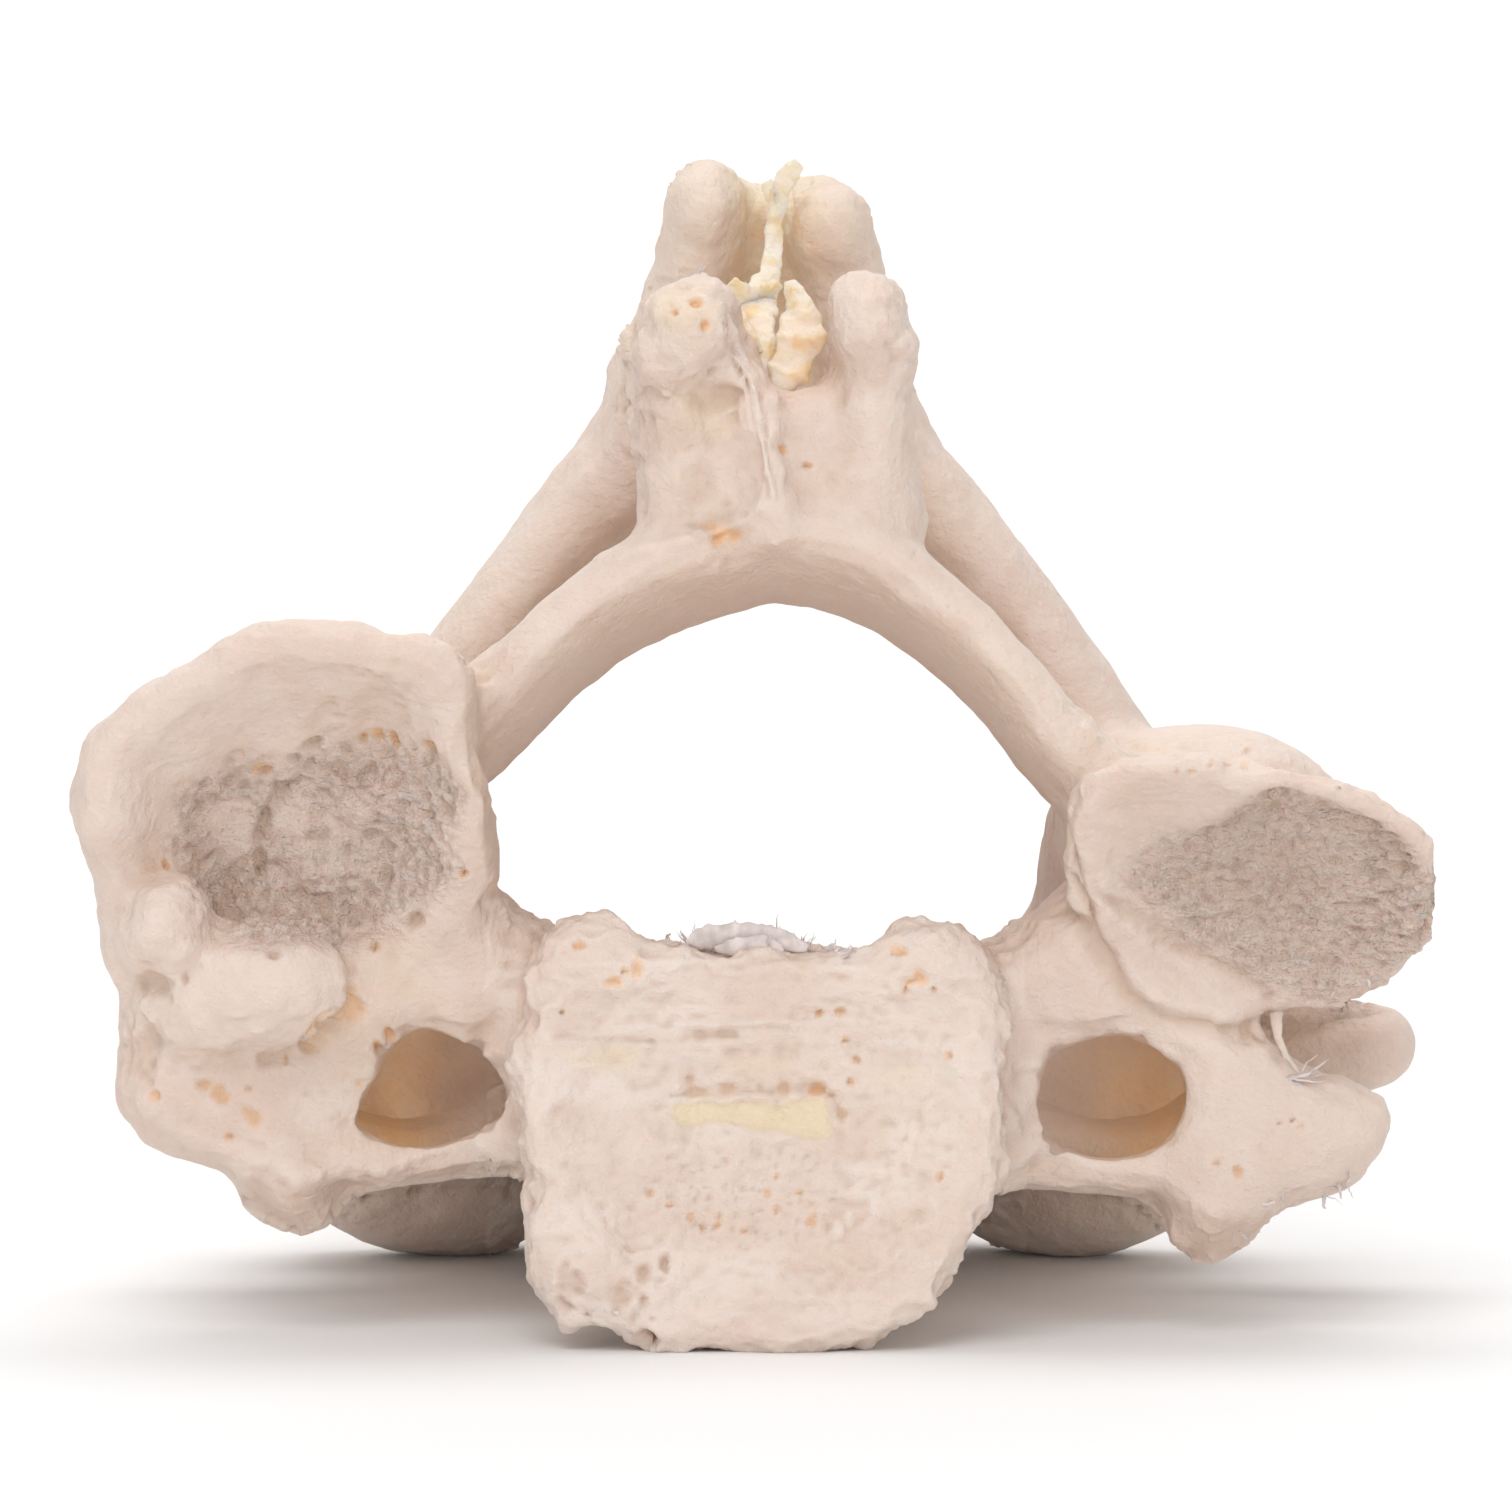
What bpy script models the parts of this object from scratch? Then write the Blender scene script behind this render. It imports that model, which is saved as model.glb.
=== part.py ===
"""The second and third neck vertebrae of an adult, grown together into one bone.

The bone lies on its front: it rests on the lower lip of the third vertebra's body and on the
front edges of the two upper joint surfaces of the axis. It is shaped in bone axes and in
millimetres, X to the person's right, Y up the neck and Z to the person's back, and is set down
on the floor at the end. It is modelled whole and then parted by thin flat cuts into the parts
that an anatomist names.
"""

import math
import random

import bmesh
import bpy
from mathutils import Euler, Matrix, Vector

MM = 0.001

# Finish of the fused surface
FUSE_VOXEL = 0.45
ROUNDING_PASSES = 5
ROUNDING_STRENGTH = 0.5
ROUNDING_LOSS = 0.22
WHOLE_FACES = 10200

# Scraps of ligament
SCRAP_VOXEL = 0.2
SCRAP_FACES = 420

# Thin cuts between the named parts
CUT_GAP = 0.3
REGION_REACH = 60.0

# How the bone lies on its front
FLAT_DEPTH = 0.2
THIRD_END = 12.0
AXIS_START = 26.0

# Levels up the neck
FUSED_LEVEL = 16.2
ARCH_GAP_LEVEL = 13.6
PILLAR_TOP = 28.4
DENS_ROOT = 38.2
BODY_WALL = 9.4
WALL_LEAN = 0.11

# Columns of the two bodies: level, centre to the front, half width, half depth
BODY_COLUMN = [
    (8.0, -15.1, 8.2, 6.6),
    (10.0, -15.1, 8.3, 6.6),
    (13.0, -15.4, 8.8, 7.0),
    (17.0, -15.8, 9.0, 7.4),
    (20.5, -15.4, 8.4, 6.9),
    (26.0, -14.9, 8.0, 6.3),
    (32.0, -15.0, 8.0, 6.2),
    (37.0, -15.5, 6.8, 5.8),
]
DENS_STATIONS = [
    (35.0, -15.4, 6.2, 5.2),
    (39.5, -15.4, 4.5, 4.5),
    (43.0, -15.4, 4.7, 4.8),
    (46.5, -15.2, 5.2, 5.1),
    (50.5, -14.7, 4.7, 4.8),
    (53.2, -14.2, 3.4, 3.7),
]

# Lower rim of the third body, seen from below: right, back
LOWER_RIM = [
    (-7.0, -7.0), (-9.1, -7.8), (-9.6, -10.5), (-10.2, -14.0), (-10.0, -16.6), (-9.2, -18.3),
    (-9.9, -20.4), (-9.3, -22.9), (-7.2, -24.1), (-5.6, -23.5), (-4.6, -25.0), (-1.6, -25.1),
    (2.0, -25.4), (5.6, -24.5), (8.0, -22.4), (9.6, -19.3), (10.7, -15.8), (10.2, -12.6),
    (10.4, -10.4), (9.3, -7.9), (7.5, -7.3), (5.0, -8.4), (1.0, -8.7), (-3.6, -8.4),
]
LOWER_RIM_HEART = (0.0, -16.2)

# Lower joint processes of the third vertebra, seen from below: right, back
RIGHT_FACET = [
    (13.6, -1.4), (15.6, -0.3), (18.2, -0.15), (21.5, -0.65), (24.6, -1.05), (27.2, -2.3),
    (29.0, -4.2), (29.2, -6.6), (28.0, -8.9), (25.2, -10.4), (21.4, -10.8), (18.0, -10.6),
    (15.4, -9.4), (14.1, -7.0), (13.3, -4.4),
]
LEFT_FACET = [
    (-11.9, 0.6), (-11.9, 3.6), (-13.8, 5.0), (-16.3, 5.3), (-18.8, 5.6), (-21.0, 5.6),
    (-23.2, 4.5), (-25.9, 2.8), (-28.1, 1.0), (-29.1, -0.8), (-28.7, -4.0), (-28.2, -7.0),
    (-27.2, -10.0), (-22.5, -11.2), (-17.5, -10.6), (-13.0, -8.6), (-11.4, -5.5), (-11.1, -2.0),
]

# Side processes of the third vertebra, seen from below: right, back
RIGHT_SIDE_PROCESS = [
    (18.0, -10.0), (20.6, -10.7), (22.4, -12.8), (24.5, -14.0), (27.1, -14.7), (27.4, -16.4),
    (25.7, -18.4), (22.8, -19.4), (21.2, -21.2), (19.7, -21.8), (18.2, -21.4), (17.4, -19.5),
    (17.2, -17.6), (18.6, -14.6),
]
LEFT_SIDE_PROCESS = [
    (-16.6, -10.0), (-21.0, -10.0), (-27.0, -10.2), (-27.2, -14.1), (-26.5, -16.5),
    (-24.3, -17.5), (-22.4, -18.0), (-22.1, -19.5), (-20.9, -20.4), (-19.5, -20.8),
    (-18.2, -20.0), (-17.5, -18.3), (-16.4, -17.5), (-17.2, -14.4),
]

# Upper joint surfaces of the axis
UPPER_FACET = [
    (6.2, -13.2), (7.0, -10.6), (9.4, -9.3), (12.2, -7.6), (15.4, -6.0), (18.8, -6.6),
    (21.6, -8.8), (23.0, -12.0), (22.9, -15.8), (21.4, -19.5), (18.1, -22.0), (14.4, -22.9),
    (10.8, -22.3), (8.0, -20.3), (6.5, -17.0),
]
UPPER_FACET_HEART = (14.6, -14.6)
UPPER_FACET_LEVEL = 33.6
UPPER_FACET_FALL = 0.32

# Openings for the artery: right, up, back, and the two half widths
RIGHT_ARTERY = [(15.2, -14.6), (3.1, 2.55)]
LEFT_ARTERY = [(-13.8, -14.2), (3.1, 2.5)]
AXIS_ARTERY_RADIUS = 2.9


def at(x, y, z):
    """A point of the bone in metres, from millimetres."""
    return Vector((x, y, z)) * MM


def curve_through(points, per_span, closed):
    """Points on a smooth curve through the given ones."""
    points = [Vector(p) for p in points]
    count = len(points)
    spans = count if closed else count - 1
    found = []
    for i in range(spans):
        if closed:
            a, b, c, d = (points[(i + k) % count] for k in (-1, 0, 1, 2))
        else:
            a, b, c, d = (points[min(max(i + k, 0), count - 1)] for k in (-1, 0, 1, 2))
        for step in range(per_span):
            t = step / per_span
            found.append(
                0.5 * (2 * b + (c - a) * t + (2 * a - 5 * b + 4 * c - d) * t**2
                       + (3 * b - a - 3 * c + d) * t**3)
            )
    if not closed:
        found.append(points[-1])
    return found


def add_closed_mesh(rings, first_pole, last_pole):
    """One closed mesh object that skins the rings and caps both ends with a fan."""
    mesh = bmesh.new()
    rows = [[mesh.verts.new(point) for point in ring] for ring in rings]
    count = len(rows[0])
    for low, high in zip(rows, rows[1:]):
        for k in range(count):
            mesh.faces.new((low[k], low[(k + 1) % count], high[(k + 1) % count], high[k]))
    for row, pole in ((rows[0], first_pole), (rows[-1], last_pole)):
        tip = mesh.verts.new(pole)
        for k in range(count):
            mesh.faces.new((row[k], row[(k + 1) % count], tip))
    bmesh.ops.recalc_face_normals(mesh, faces=mesh.faces)
    if mesh.calc_volume(signed=True) < 0:
        bmesh.ops.reverse_faces(mesh, faces=mesh.faces)
    data = bpy.data.meshes.new("piece")
    mesh.to_mesh(data)
    mesh.free()
    piece = bpy.data.objects.new("piece", data)
    bpy.context.scene.collection.objects.link(piece)
    return piece


def tube(stations, tall=(0.0, 1.0, 0.0), sides=20, roundness=2.3):
    """A bent bar through (x, y, z, half thickness, half height), with domed ends.

    The height runs along tall as nearly as the path allows, and the thickness across it.
    """
    path = curve_through([s[:3] for s in stations], 5, closed=False)
    halves = curve_through([(s[3], s[4], 0.0) for s in stations], 5, closed=False)
    rings = []
    poles = []
    last = len(path) - 1
    dome = [0.0, 0.35, 0.65, 0.88]

    def ring(centre, along, thick, high):
        across = along.cross(Vector(tall)).normalized()
        up = across.cross(along).normalized()
        points = []
        for k in range(sides):
            turn = math.tau * k / sides
            c, s = math.cos(turn), math.sin(turn)
            bulge = (abs(c) ** roundness + abs(s) ** roundness) ** (-1 / roundness)
            points.append((centre + across * (c * bulge * thick) + up * (s * bulge * high)) * MM)
        return points

    for end in (0, last):
        along = (path[min(end + 1, last)] - path[max(end - 1, 0)]).normalized()
        outward = -along if end == 0 else along
        thick, high = halves[end][0], halves[end][1]
        reach = 0.8 * min(thick, high)
        caps = []
        for share in dome[1:]:
            shrink = math.sqrt(1 - share**2)
            caps.append(ring(path[end] + outward * reach * share, along, thick * shrink,
                             high * shrink))
        poles.append((path[end] + outward * reach) * MM)
        if end == 0:
            rings.extend(reversed(caps))
            for i in range(last + 1):
                step = (path[min(i + 1, last)] - path[max(i - 1, 0)]).normalized()
                rings.append(ring(path[i], step, halves[i][0], halves[i][1]))
        else:
            rings.extend(caps)
    return add_closed_mesh(rings, poles[0], poles[1])


def column(stations):
    """An upright column through (level, centre to the back, half width, half depth)."""
    return tube([(0.0, level, back, half_width, half_depth)
                 for level, back, half_width, half_depth in stations],
                tall=(0.0, 0.0, 1.0), sides=28, roundness=2.5)


def pebble(outline, heart, layers, rise=(0.0, 0.0), per_span=4):
    """A rounded slab whose widest section has the given outline, seen from below.

    layers are (share of the outline, level) from below to above. rise is how much the slab
    climbs for each millimetre to the right and to the back.
    """
    edge = curve_through([(x, z, 0.0) for x, z in outline], per_span, closed=True)
    across, back = heart

    def point(x, z, level):
        return at(x, level + rise[0] * (x - across) + rise[1] * (z - back), z)

    rings = []
    for share, level in layers[1:-1]:
        rings.append([point(across + (p.x - across) * share, back + (p.y - back) * share, level)
                      for p in edge])
    return add_closed_mesh(rings, point(across, back, layers[0][1]),
                           point(across, back, layers[-1][1]))


def lump(centre, radii, turn=(0.0, 0.0, 0.0)):
    """A rounded swelling, turned by degrees about X, Y and Z."""
    data = bpy.data.meshes.new("piece")
    mesh = bmesh.new()
    bmesh.ops.create_icosphere(mesh, subdivisions=3, radius=1.0)
    turned = Euler([math.radians(a) for a in turn]).to_matrix().to_4x4()
    place = Matrix.Translation(at(*centre)) @ turned @ Matrix.Diagonal((*at(*radii), 1.0))
    bmesh.ops.transform(mesh, matrix=place, verts=mesh.verts)
    mesh.to_mesh(data)
    mesh.free()
    piece = bpy.data.objects.new("piece", data)
    bpy.context.scene.collection.objects.link(piece)
    return piece


def third_body():
    """The lower body with its dished underside and its lipped rim."""
    rim_layers = [(0.0, 0.9), (0.3, 0.8), (0.6, 0.4), (0.82, -0.2), (0.94, -0.6), (1.0, 0.3),
                  (0.985, 1.6), (0.93, 3.0), (0.87, 4.6), (0.8, 6.4), (0.0, 7.2)]
    pieces = [pebble(LOWER_RIM, LOWER_RIM_HEART, rim_layers, rise=(0.0, 0.1), per_span=3)]
    draw = random.Random(7)
    beads = 26
    edge = curve_through([(x, z, 0.0) for x, z in LOWER_RIM], 8, closed=True)
    for k in range(beads):
        spot = edge[(k * len(edge)) // beads]
        inward = 0.93
        size = draw.uniform(0.7, 1.15)
        x, z = spot.x * inward, LOWER_RIM_HEART[1] + (spot.y - LOWER_RIM_HEART[1]) * inward
        level = 0.1 + 0.1 * (z - LOWER_RIM_HEART[1]) + draw.uniform(0.0, 0.8)
        pieces.append(lump((x, level, z), (size, 0.9 * size, size)))
    # Raised corners at the back of the rim and the separate lobe at the lower left
    pieces.append(lump((-6.6, 0.9, -8.9), (2.6, 1.3, 1.5), (0.0, 12.0, 0.0)))
    pieces.append(lump((7.2, 0.9, -9.1), (2.6, 1.3, 1.4), (0.0, -12.0, 0.0)))
    pieces.append(lump((-7.6, 0.0, -21.7), (2.1, 1.6, 2.1)))
    return pieces


def axis_body():
    """The column of both bodies, the front lip of the axis and the tooth on top."""
    pieces = [column(BODY_COLUMN), column(DENS_STATIONS)]
    pieces.append(lump((0.0, 18.2, -20.6), (6.6, 2.6, 2.9)))
    pieces.append(tube([(0.0, 20.0, -20.6, 1.5, 2.0), (0.0, 27.0, -19.9, 1.3, 2.0),
                        (0.0, 34.0, -19.6, 1.0, 1.6)]))
    return pieces


def upper_facet(side):
    """The upper joint process of the axis, a thick cushion that falls away to the side."""
    level = UPPER_FACET_LEVEL
    outline = [(side * x, z) for x, z in UPPER_FACET]
    heart = (side * UPPER_FACET_HEART[0], UPPER_FACET_HEART[1])
    layers = [(0.0, level - 6.4), (0.5, level - 5.9), (0.8, level - 4.6), (0.94, level - 2.6),
              (1.0, level - 0.3), (0.985, level + 1.5), (0.92, level + 2.4), (0.7, level + 3.1),
              (0.4, level + 3.5), (0.0, level + 3.6)]
    return [pebble(outline, heart, layers, rise=(-side * UPPER_FACET_FALL, 0.03))]


def axis_pillar(side):
    """The bar that joins the upper joint process to the lower one, and goes on into the third."""
    inward = 0.2 if side > 0 else 0.8
    return [tube([
        (side * (15.2 - inward / 2), 31.5, -11.6, 4.4, 4.4),
        (side * (16.8 - inward), 26.5, -8.6, 4.3, 4.2),
        (side * (17.9 - inward), 21.0, -5.2, 4.9, 4.4),
        (side * (18.8 - inward), 16.0, -3.6, 5.7, 4.6),
        (side * 19.4, 11.0, -3.2, 5.9, 4.4),
        (side * 19.8, 5.5, -3.4, 5.8, 4.2),
    ], tall=(0.0, 0.0, 1.0))]


def axis_side_process(side):
    """The short side process of the axis: a front and a back root that meet in a blunt tip."""
    reach = 27.9 if side > 0 else 25.4
    tip = [(side * 22.5, 20.6, -13.2, 2.5, 2.4), (side * (reach - 1.4), 19.8, -12.9, 2.1, 2.1),
           (side * reach, 19.4, -12.9, 1.8, 1.8)]
    back_root = [(side * 17.0, 20.5, -6.5, 2.6, 3.0), (side * 20.5, 20.8, -9.5, 2.4, 2.8),
                 (side * 23.0, 20.6, -12.4, 2.4, 2.4)]
    front_root = [(side * 8.5, 22.0, -14.8, 1.5, 3.0), (side * 13.0, 20.8, -17.0, 1.1, 2.4),
                  (side * 17.5, 20.4, -17.3, 1.1, 2.2), (side * 21.0, 20.4, -15.6, 1.6, 2.2),
                  (side * 23.5, 20.2, -13.6, 2.0, 2.2)]
    roof = lump((side * 12.5, 27.6, -13.4), (4.6, 3.6, 5.4))
    return [tube(tip), tube(back_root), tube(front_root), roof]


def third_pedicles():
    """The necks from the third body to its joint pillars."""
    right = tube([(8.0, 6.5, -11.5, 2.4, 3.6), (12.0, 6.2, -9.4, 2.1, 3.4),
                  (16.5, 5.8, -6.8, 2.6, 3.6)])
    left = tube([(-8.0, 6.5, -10.8, 2.4, 3.6), (-11.4, 6.2, -8.6, 2.1, 3.4),
                 (-15.0, 5.8, -6.0, 2.6, 3.6)])
    return [right, left]


def third_right_facet():
    """The healthy lower joint process, facing down and forward."""
    heart = (21.2, -5.2)
    layers = [(0.0, 1.3), (0.35, 1.2), (0.7, 0.7), (0.88, 0.0), (0.97, -0.2), (1.0, 0.6),
              (0.97, 1.9), (0.88, 3.4), (0.74, 5.2), (0.5, 7.0), (0.0, 7.6)]
    return [pebble(RIGHT_FACET, heart, layers, rise=(0.0, -0.74))]


def third_left_facet():
    """The diseased lower joint process, widened by bony lips and deeply dished."""
    heart = (-19.6, -2.6)
    layers = [(0.0, 2.3), (0.3, 2.1), (0.52, 1.5), (0.68, 0.3), (0.84, -0.9), (0.95, -0.8),
              (1.0, 0.4), (0.98, 2.2), (0.92, 4.2), (0.8, 6.2), (0.5, 7.6), (0.0, 8.0)]
    pieces = [pebble(LEFT_FACET, heart, layers, rise=(0.0, -0.62))]
    # New bone heaped over the front of the joint
    heaps = [
        ((-20.9, 3.6, -9.6), (4.0, 4.2, 3.1)),
        ((-25.2, 2.4, -7.2), (2.0, 3.6, 2.2)),
        ((-23.9, 4.4, -10.6), (2.8, 3.8, 2.8)),
        ((-16.4, 5.4, -10.4), (2.8, 3.0, 1.6)),
        ((-27.6, 1.0, -1.6), (1.6, 3.4, 2.6)),
    ]
    pieces.extend(lump(centre, radii) for centre, radii in heaps)
    return pieces


def third_side_processes():
    """The side processes of the third vertebra, each with its ring round the artery."""
    layers = [(0.0, 3.0), (0.45, 3.1), (0.8, 3.5), (0.96, 4.4), (1.0, 5.6), (0.96, 6.9),
              (0.8, 7.9), (0.45, 8.3), (0.0, 8.4)]
    right = pebble(RIGHT_SIDE_PROCESS, (20.8, -15.6), layers, rise=(-0.05, 0.0))
    left = pebble(LEFT_SIDE_PROCESS, (-21.8, -14.2), layers, rise=(0.05, -0.05))
    right_front = tube([(9.0, 6.0, -17.6, 1.1, 2.6), (12.0, 6.0, -17.9, 0.75, 2.2),
                        (15.6, 6.0, -18.0, 0.8, 2.3), (19.0, 6.0, -18.2, 1.4, 2.6)])
    left_front = tube([(-9.0, 6.0, -17.2, 1.1, 2.6), (-11.6, 6.0, -17.3, 0.7, 2.2),
                       (-14.6, 6.0, -17.5, 0.75, 2.3), (-18.4, 6.0, -17.6, 1.4, 2.6)])
    right_back = tube([(12.6, 6.0, -10.4, 1.5, 3.2), (16.4, 6.0, -10.0, 1.6, 3.2),
                       (19.8, 6.0, -12.2, 1.8, 3.0)])
    left_back = tube([(-11.6, 6.0, -10.2, 1.5, 3.2), (-15.2, 6.0, -9.8, 1.6, 3.2),
                      (-18.6, 6.0, -11.8, 1.8, 3.0)])
    right_inner = tube([(10.4, 6.0, -10.5, 1.7, 3.2), (10.2, 6.0, -14.4, 1.6, 3.0),
                        (10.4, 6.0, -18.0, 1.2, 2.6)])
    left_inner = tube([(-9.4, 6.0, -10.2, 1.5, 3.2), (-9.2, 6.0, -14.0, 1.4, 3.0),
                       (-9.4, 6.0, -17.4, 1.2, 2.6)])
    # Rounded front and back knobs at the ends
    knobs = [
        lump((19.6, 5.2, -19.9), (1.5, 2.6, 1.6)), lump((25.6, 5.4, -16.2), (1.6, 2.4, 1.5)),
        lump((-19.8, 5.4, -18.8), (1.8, 2.8, 1.6)), lump((-25.2, 5.2, -14.4), (2.2, 2.6, 2.2)),
    ]
    return [right, left, right_front, left_front, right_back, left_back, right_inner,
            left_inner, *knobs]


def third_laminae():
    """The thin plates that close the third vertebra's arch behind."""
    lean = (0.0, 1.0, -0.16)
    right = tube([(17.4, 4.6, -3.4, 2.2, 4.4), (13.4, 4.6, -0.2, 1.5, 5.0),
                  (10.7, 4.8, 3.1, 1.35, 5.4), (7.8, 5.0, 5.9, 1.4, 5.6),
                  (4.6, 5.2, 8.1, 1.7, 5.6), (0.6, 5.2, 9.2, 2.0, 5.4)], tall=lean)
    left = tube([(-16.8, 4.6, -1.7, 2.2, 4.4), (-12.6, 4.6, 0.8, 1.8, 5.0),
                 (-9.9, 4.8, 3.3, 1.6, 5.4), (-7.4, 5.0, 5.6, 1.6, 5.6),
                 (-4.3, 5.2, 7.5, 1.8, 5.6), (0.6, 5.2, 9.2, 2.0, 5.4)], tall=lean)
    return [right, left]


def third_spinous():
    """The forked process behind the third arch: two wings with a sharp keel between them."""
    web = pebble([(-4.6, 9.4), (-4.9, 11.6), (-4.6, 13.6), (-3.6, 15.4), (-1.6, 16.6),
                  (0.9, 15.4), (3.2, 15.8), (5.6, 14.8), (6.3, 13.0), (7.0, 11.4), (7.0, 9.4),
                  (4.4, 7.8), (-2.6, 7.6)],
                 (1.0, 12.0),
                 [(0.0, 0.9), (0.5, 0.7), (0.8, 0.6), (0.95, 1.3), (1.0, 3.4), (0.92, 6.4),
                  (0.6, 7.8), (0.0, 8.0)], rise=(0.0, -0.1))
    keel = tube([(0.9, 3.4, 9.6, 0.9, 4.2), (0.5, 3.0, 12.4, 0.6, 4.2),
                 (0.0, 2.6, 15.0, 0.6, 3.6), (-0.9, 2.2, 17.4, 0.6, 2.8)])
    left_wing = tube([(-2.8, 4.4, 9.6, 1.7, 3.8), (-3.2, 3.6, 13.0, 1.4, 3.4),
                      (-2.9, 2.0, 17.0, 1.8, 3.0), (-2.7, 1.4, 18.4, 1.8, 2.8)])
    right_wing = tube([(4.6, 4.4, 9.4, 2.1, 3.8), (5.0, 3.4, 13.0, 1.4, 3.4),
                       (4.9, 2.0, 17.0, 1.4, 3.0), (4.8, 1.4, 18.6, 1.3, 2.8)])
    lobes = [
        lump((-2.7, 0.6, 18.3), (2.1, 3.0, 2.1)), lump((-3.4, 1.4, 15.9), (2.0, 2.8, 1.1)),
        lump((-4.0, 3.4, 14.1), (1.1, 2.4, 0.9)), lump((4.8, 0.4, 18.6), (1.6, 3.0, 2.1)),
        lump((5.1, 1.0, 17.0), (1.5, 2.6, 1.5)), lump((5.9, 4.0, 11.8), (1.1, 2.4, 1.2)),
    ]
    return [web, keel, left_wing, right_wing, *lobes]


def axis_laminae():
    """The thick plates of the axis behind and above the thin ones."""
    lean = (0.0, 1.0, -0.12)
    right = tube([(17.2, 21.5, -4.0, 3.2, 5.0), (15.9, 21.5, -0.6, 2.3, 5.6),
                  (12.0, 21.8, 5.2, 2.2, 6.4), (8.2, 22.0, 9.8, 2.4, 6.8),
                  (4.6, 21.6, 13.2, 2.7, 6.6), (0.8, 21.4, 14.6, 3.0, 6.2)], tall=lean)
    left = tube([(-17.0, 21.5, -4.0, 3.2, 5.0), (-15.2, 21.5, 0.4, 2.3, 5.6),
                 (-12.4, 21.8, 4.3, 2.1, 6.4), (-8.7, 22.0, 8.8, 2.3, 6.8),
                 (-5.1, 21.6, 12.5, 2.7, 6.6), (0.8, 21.4, 14.6, 3.0, 6.2)], tall=lean)
    return [right, left]


def axis_spinous():
    """The stout forked process of the axis, with a deep cleft open below."""
    web = pebble([(-7.4, 13.2), (-6.3, 16.0), (-5.0, 18.6), (-3.8, 21.6), (-2.8, 24.2),
                  (-0.6, 25.2), (1.2, 25.0), (3.4, 23.6), (4.7, 20.6), (5.6, 17.6),
                  (7.6, 13.4), (0.6, 11.0)],
                 (0.6, 17.0),
                 [(0.0, 17.0), (0.5, 16.8), (0.8, 16.6), (0.95, 17.6), (1.0, 19.8),
                  (0.95, 22.8), (0.75, 26.0), (0.4, 27.4), (0.0, 27.6)], rise=(0.0, -0.34))
    left_wing = tube([(-4.9, 20.0, 13.6, 2.3, 5.8), (-3.9, 17.8, 17.8, 1.8, 5.4),
                      (-2.7, 15.4, 21.4, 1.6, 4.6), (-2.3, 13.8, 23.6, 1.5, 3.8)])
    right_wing = tube([(5.2, 20.0, 13.6, 2.4, 5.8), (4.4, 17.8, 17.8, 1.9, 5.4),
                       (3.8, 15.4, 21.4, 1.7, 4.6), (3.3, 13.8, 23.2, 1.6, 3.8)])
    lobes = [
        lump((-2.2, 13.2, 24.0), (1.7, 4.0, 2.2)), lump((-2.6, 14.6, 21.8), (1.3, 3.4, 2.0)),
        lump((-5.6, 21.0, 17.0), (1.0, 4.0, 1.3)),
        lump((3.2, 13.2, 23.1), (1.8, 3.9, 2.2)), lump((3.8, 14.8, 20.6), (1.8, 3.2, 2.2)),
    ]
    return [web, left_wing, right_wing, *lobes]


def ligament_remains():
    """Two scraps of dried ligament that cling in the clefts: a crumpled strip and a flap."""
    strip = [
        tube([(1.6, 12.4, 25.6, 0.5, 1.3), (1.2, 13.0, 24.4, 0.6, 1.5),
              (0.5, 13.6, 23.0, 0.5, 1.5), (0.8, 14.2, 21.6, 0.5, 1.5),
              (0.4, 14.8, 20.4, 0.5, 1.5), (0.8, 15.4, 19.2, 0.45, 1.4)], sides=14),
        lump((1.75, 12.2, 25.7), (0.8, 1.1, 0.6), (0.0, 30.0, 0.0)),
        lump((0.7, 13.4, 22.4), (0.8, 1.2, 0.6), (0.0, -20.0, 0.0)),
        lump((0.3, 14.4, 20.5), (0.75, 1.2, 0.6), (0.0, 25.0, 0.0)),
    ]
    flap = [
        tube([(1.2, 6.2, 19.6, 0.4, 0.45), (1.9, 5.0, 18.5, 0.9, 0.5),
              (2.1, 3.7, 17.3, 1.15, 0.55), (1.8, 2.6, 16.2, 1.0, 0.5),
              (1.3, 2.3, 15.6, 0.6, 0.45)], sides=14),
        lump((1.2, 3.3, 17.0), (0.45, 0.9, 1.5), (0.0, -8.0, 0.0)),
    ]
    return {"ligament_strip": strip, "ligament_flap": flap}


def artery_cutters():
    """The upright openings of the third vertebra and the bent ones of the axis."""
    cutters = []
    for (x, z), (half_x, half_z) in (RIGHT_ARTERY, LEFT_ARTERY):
        side = math.copysign(1.0, x)
        cutters.append(tube([(x, -6.0, z, half_x, half_z), (x, 4.0, z, half_x, half_z),
                             (x, 12.0, z, half_x + 0.3, half_z + 0.3)],
                            tall=(0.0, 0.0, 1.0), roundness=2.0))
        radius = AXIS_ARTERY_RADIUS
        cutters.append(tube([
            (side * 15.2, 9.0, -13.4, radius + 0.6, radius),
            (side * 15.4, 17.0, -13.3, radius, radius - 0.2),
            (side * 16.6, 22.0, -12.9, radius, radius - 0.2),
            (side * 19.4, 25.2, -12.4, radius, radius - 0.2),
            (side * 24.0, 25.8, -12.0, radius, radius - 0.2),
            (side * 31.0, 25.8, -12.0, radius + 0.6, radius + 0.4),
        ], tall=(0.0, 0.0, 1.0), roundness=2.0))
    return cutters


def join_meshes(pieces, name):
    """One object that holds the meshes of all the pieces, which are removed."""
    mesh = bmesh.new()
    for piece in pieces:
        mesh.from_mesh(piece.data)
        bpy.data.objects.remove(piece)
    data = bpy.data.meshes.new(name)
    mesh.to_mesh(data)
    mesh.free()
    joined = bpy.data.objects.new(name, data)
    bpy.context.scene.collection.objects.link(joined)
    return joined


def apply_modifiers(piece):
    """Replaces the object's mesh with its evaluated one and clears its modifiers."""
    graph = bpy.context.evaluated_depsgraph_get()
    result = bpy.data.meshes.new_from_object(piece.evaluated_get(graph))
    piece.modifiers.clear()
    piece.data = result


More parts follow.
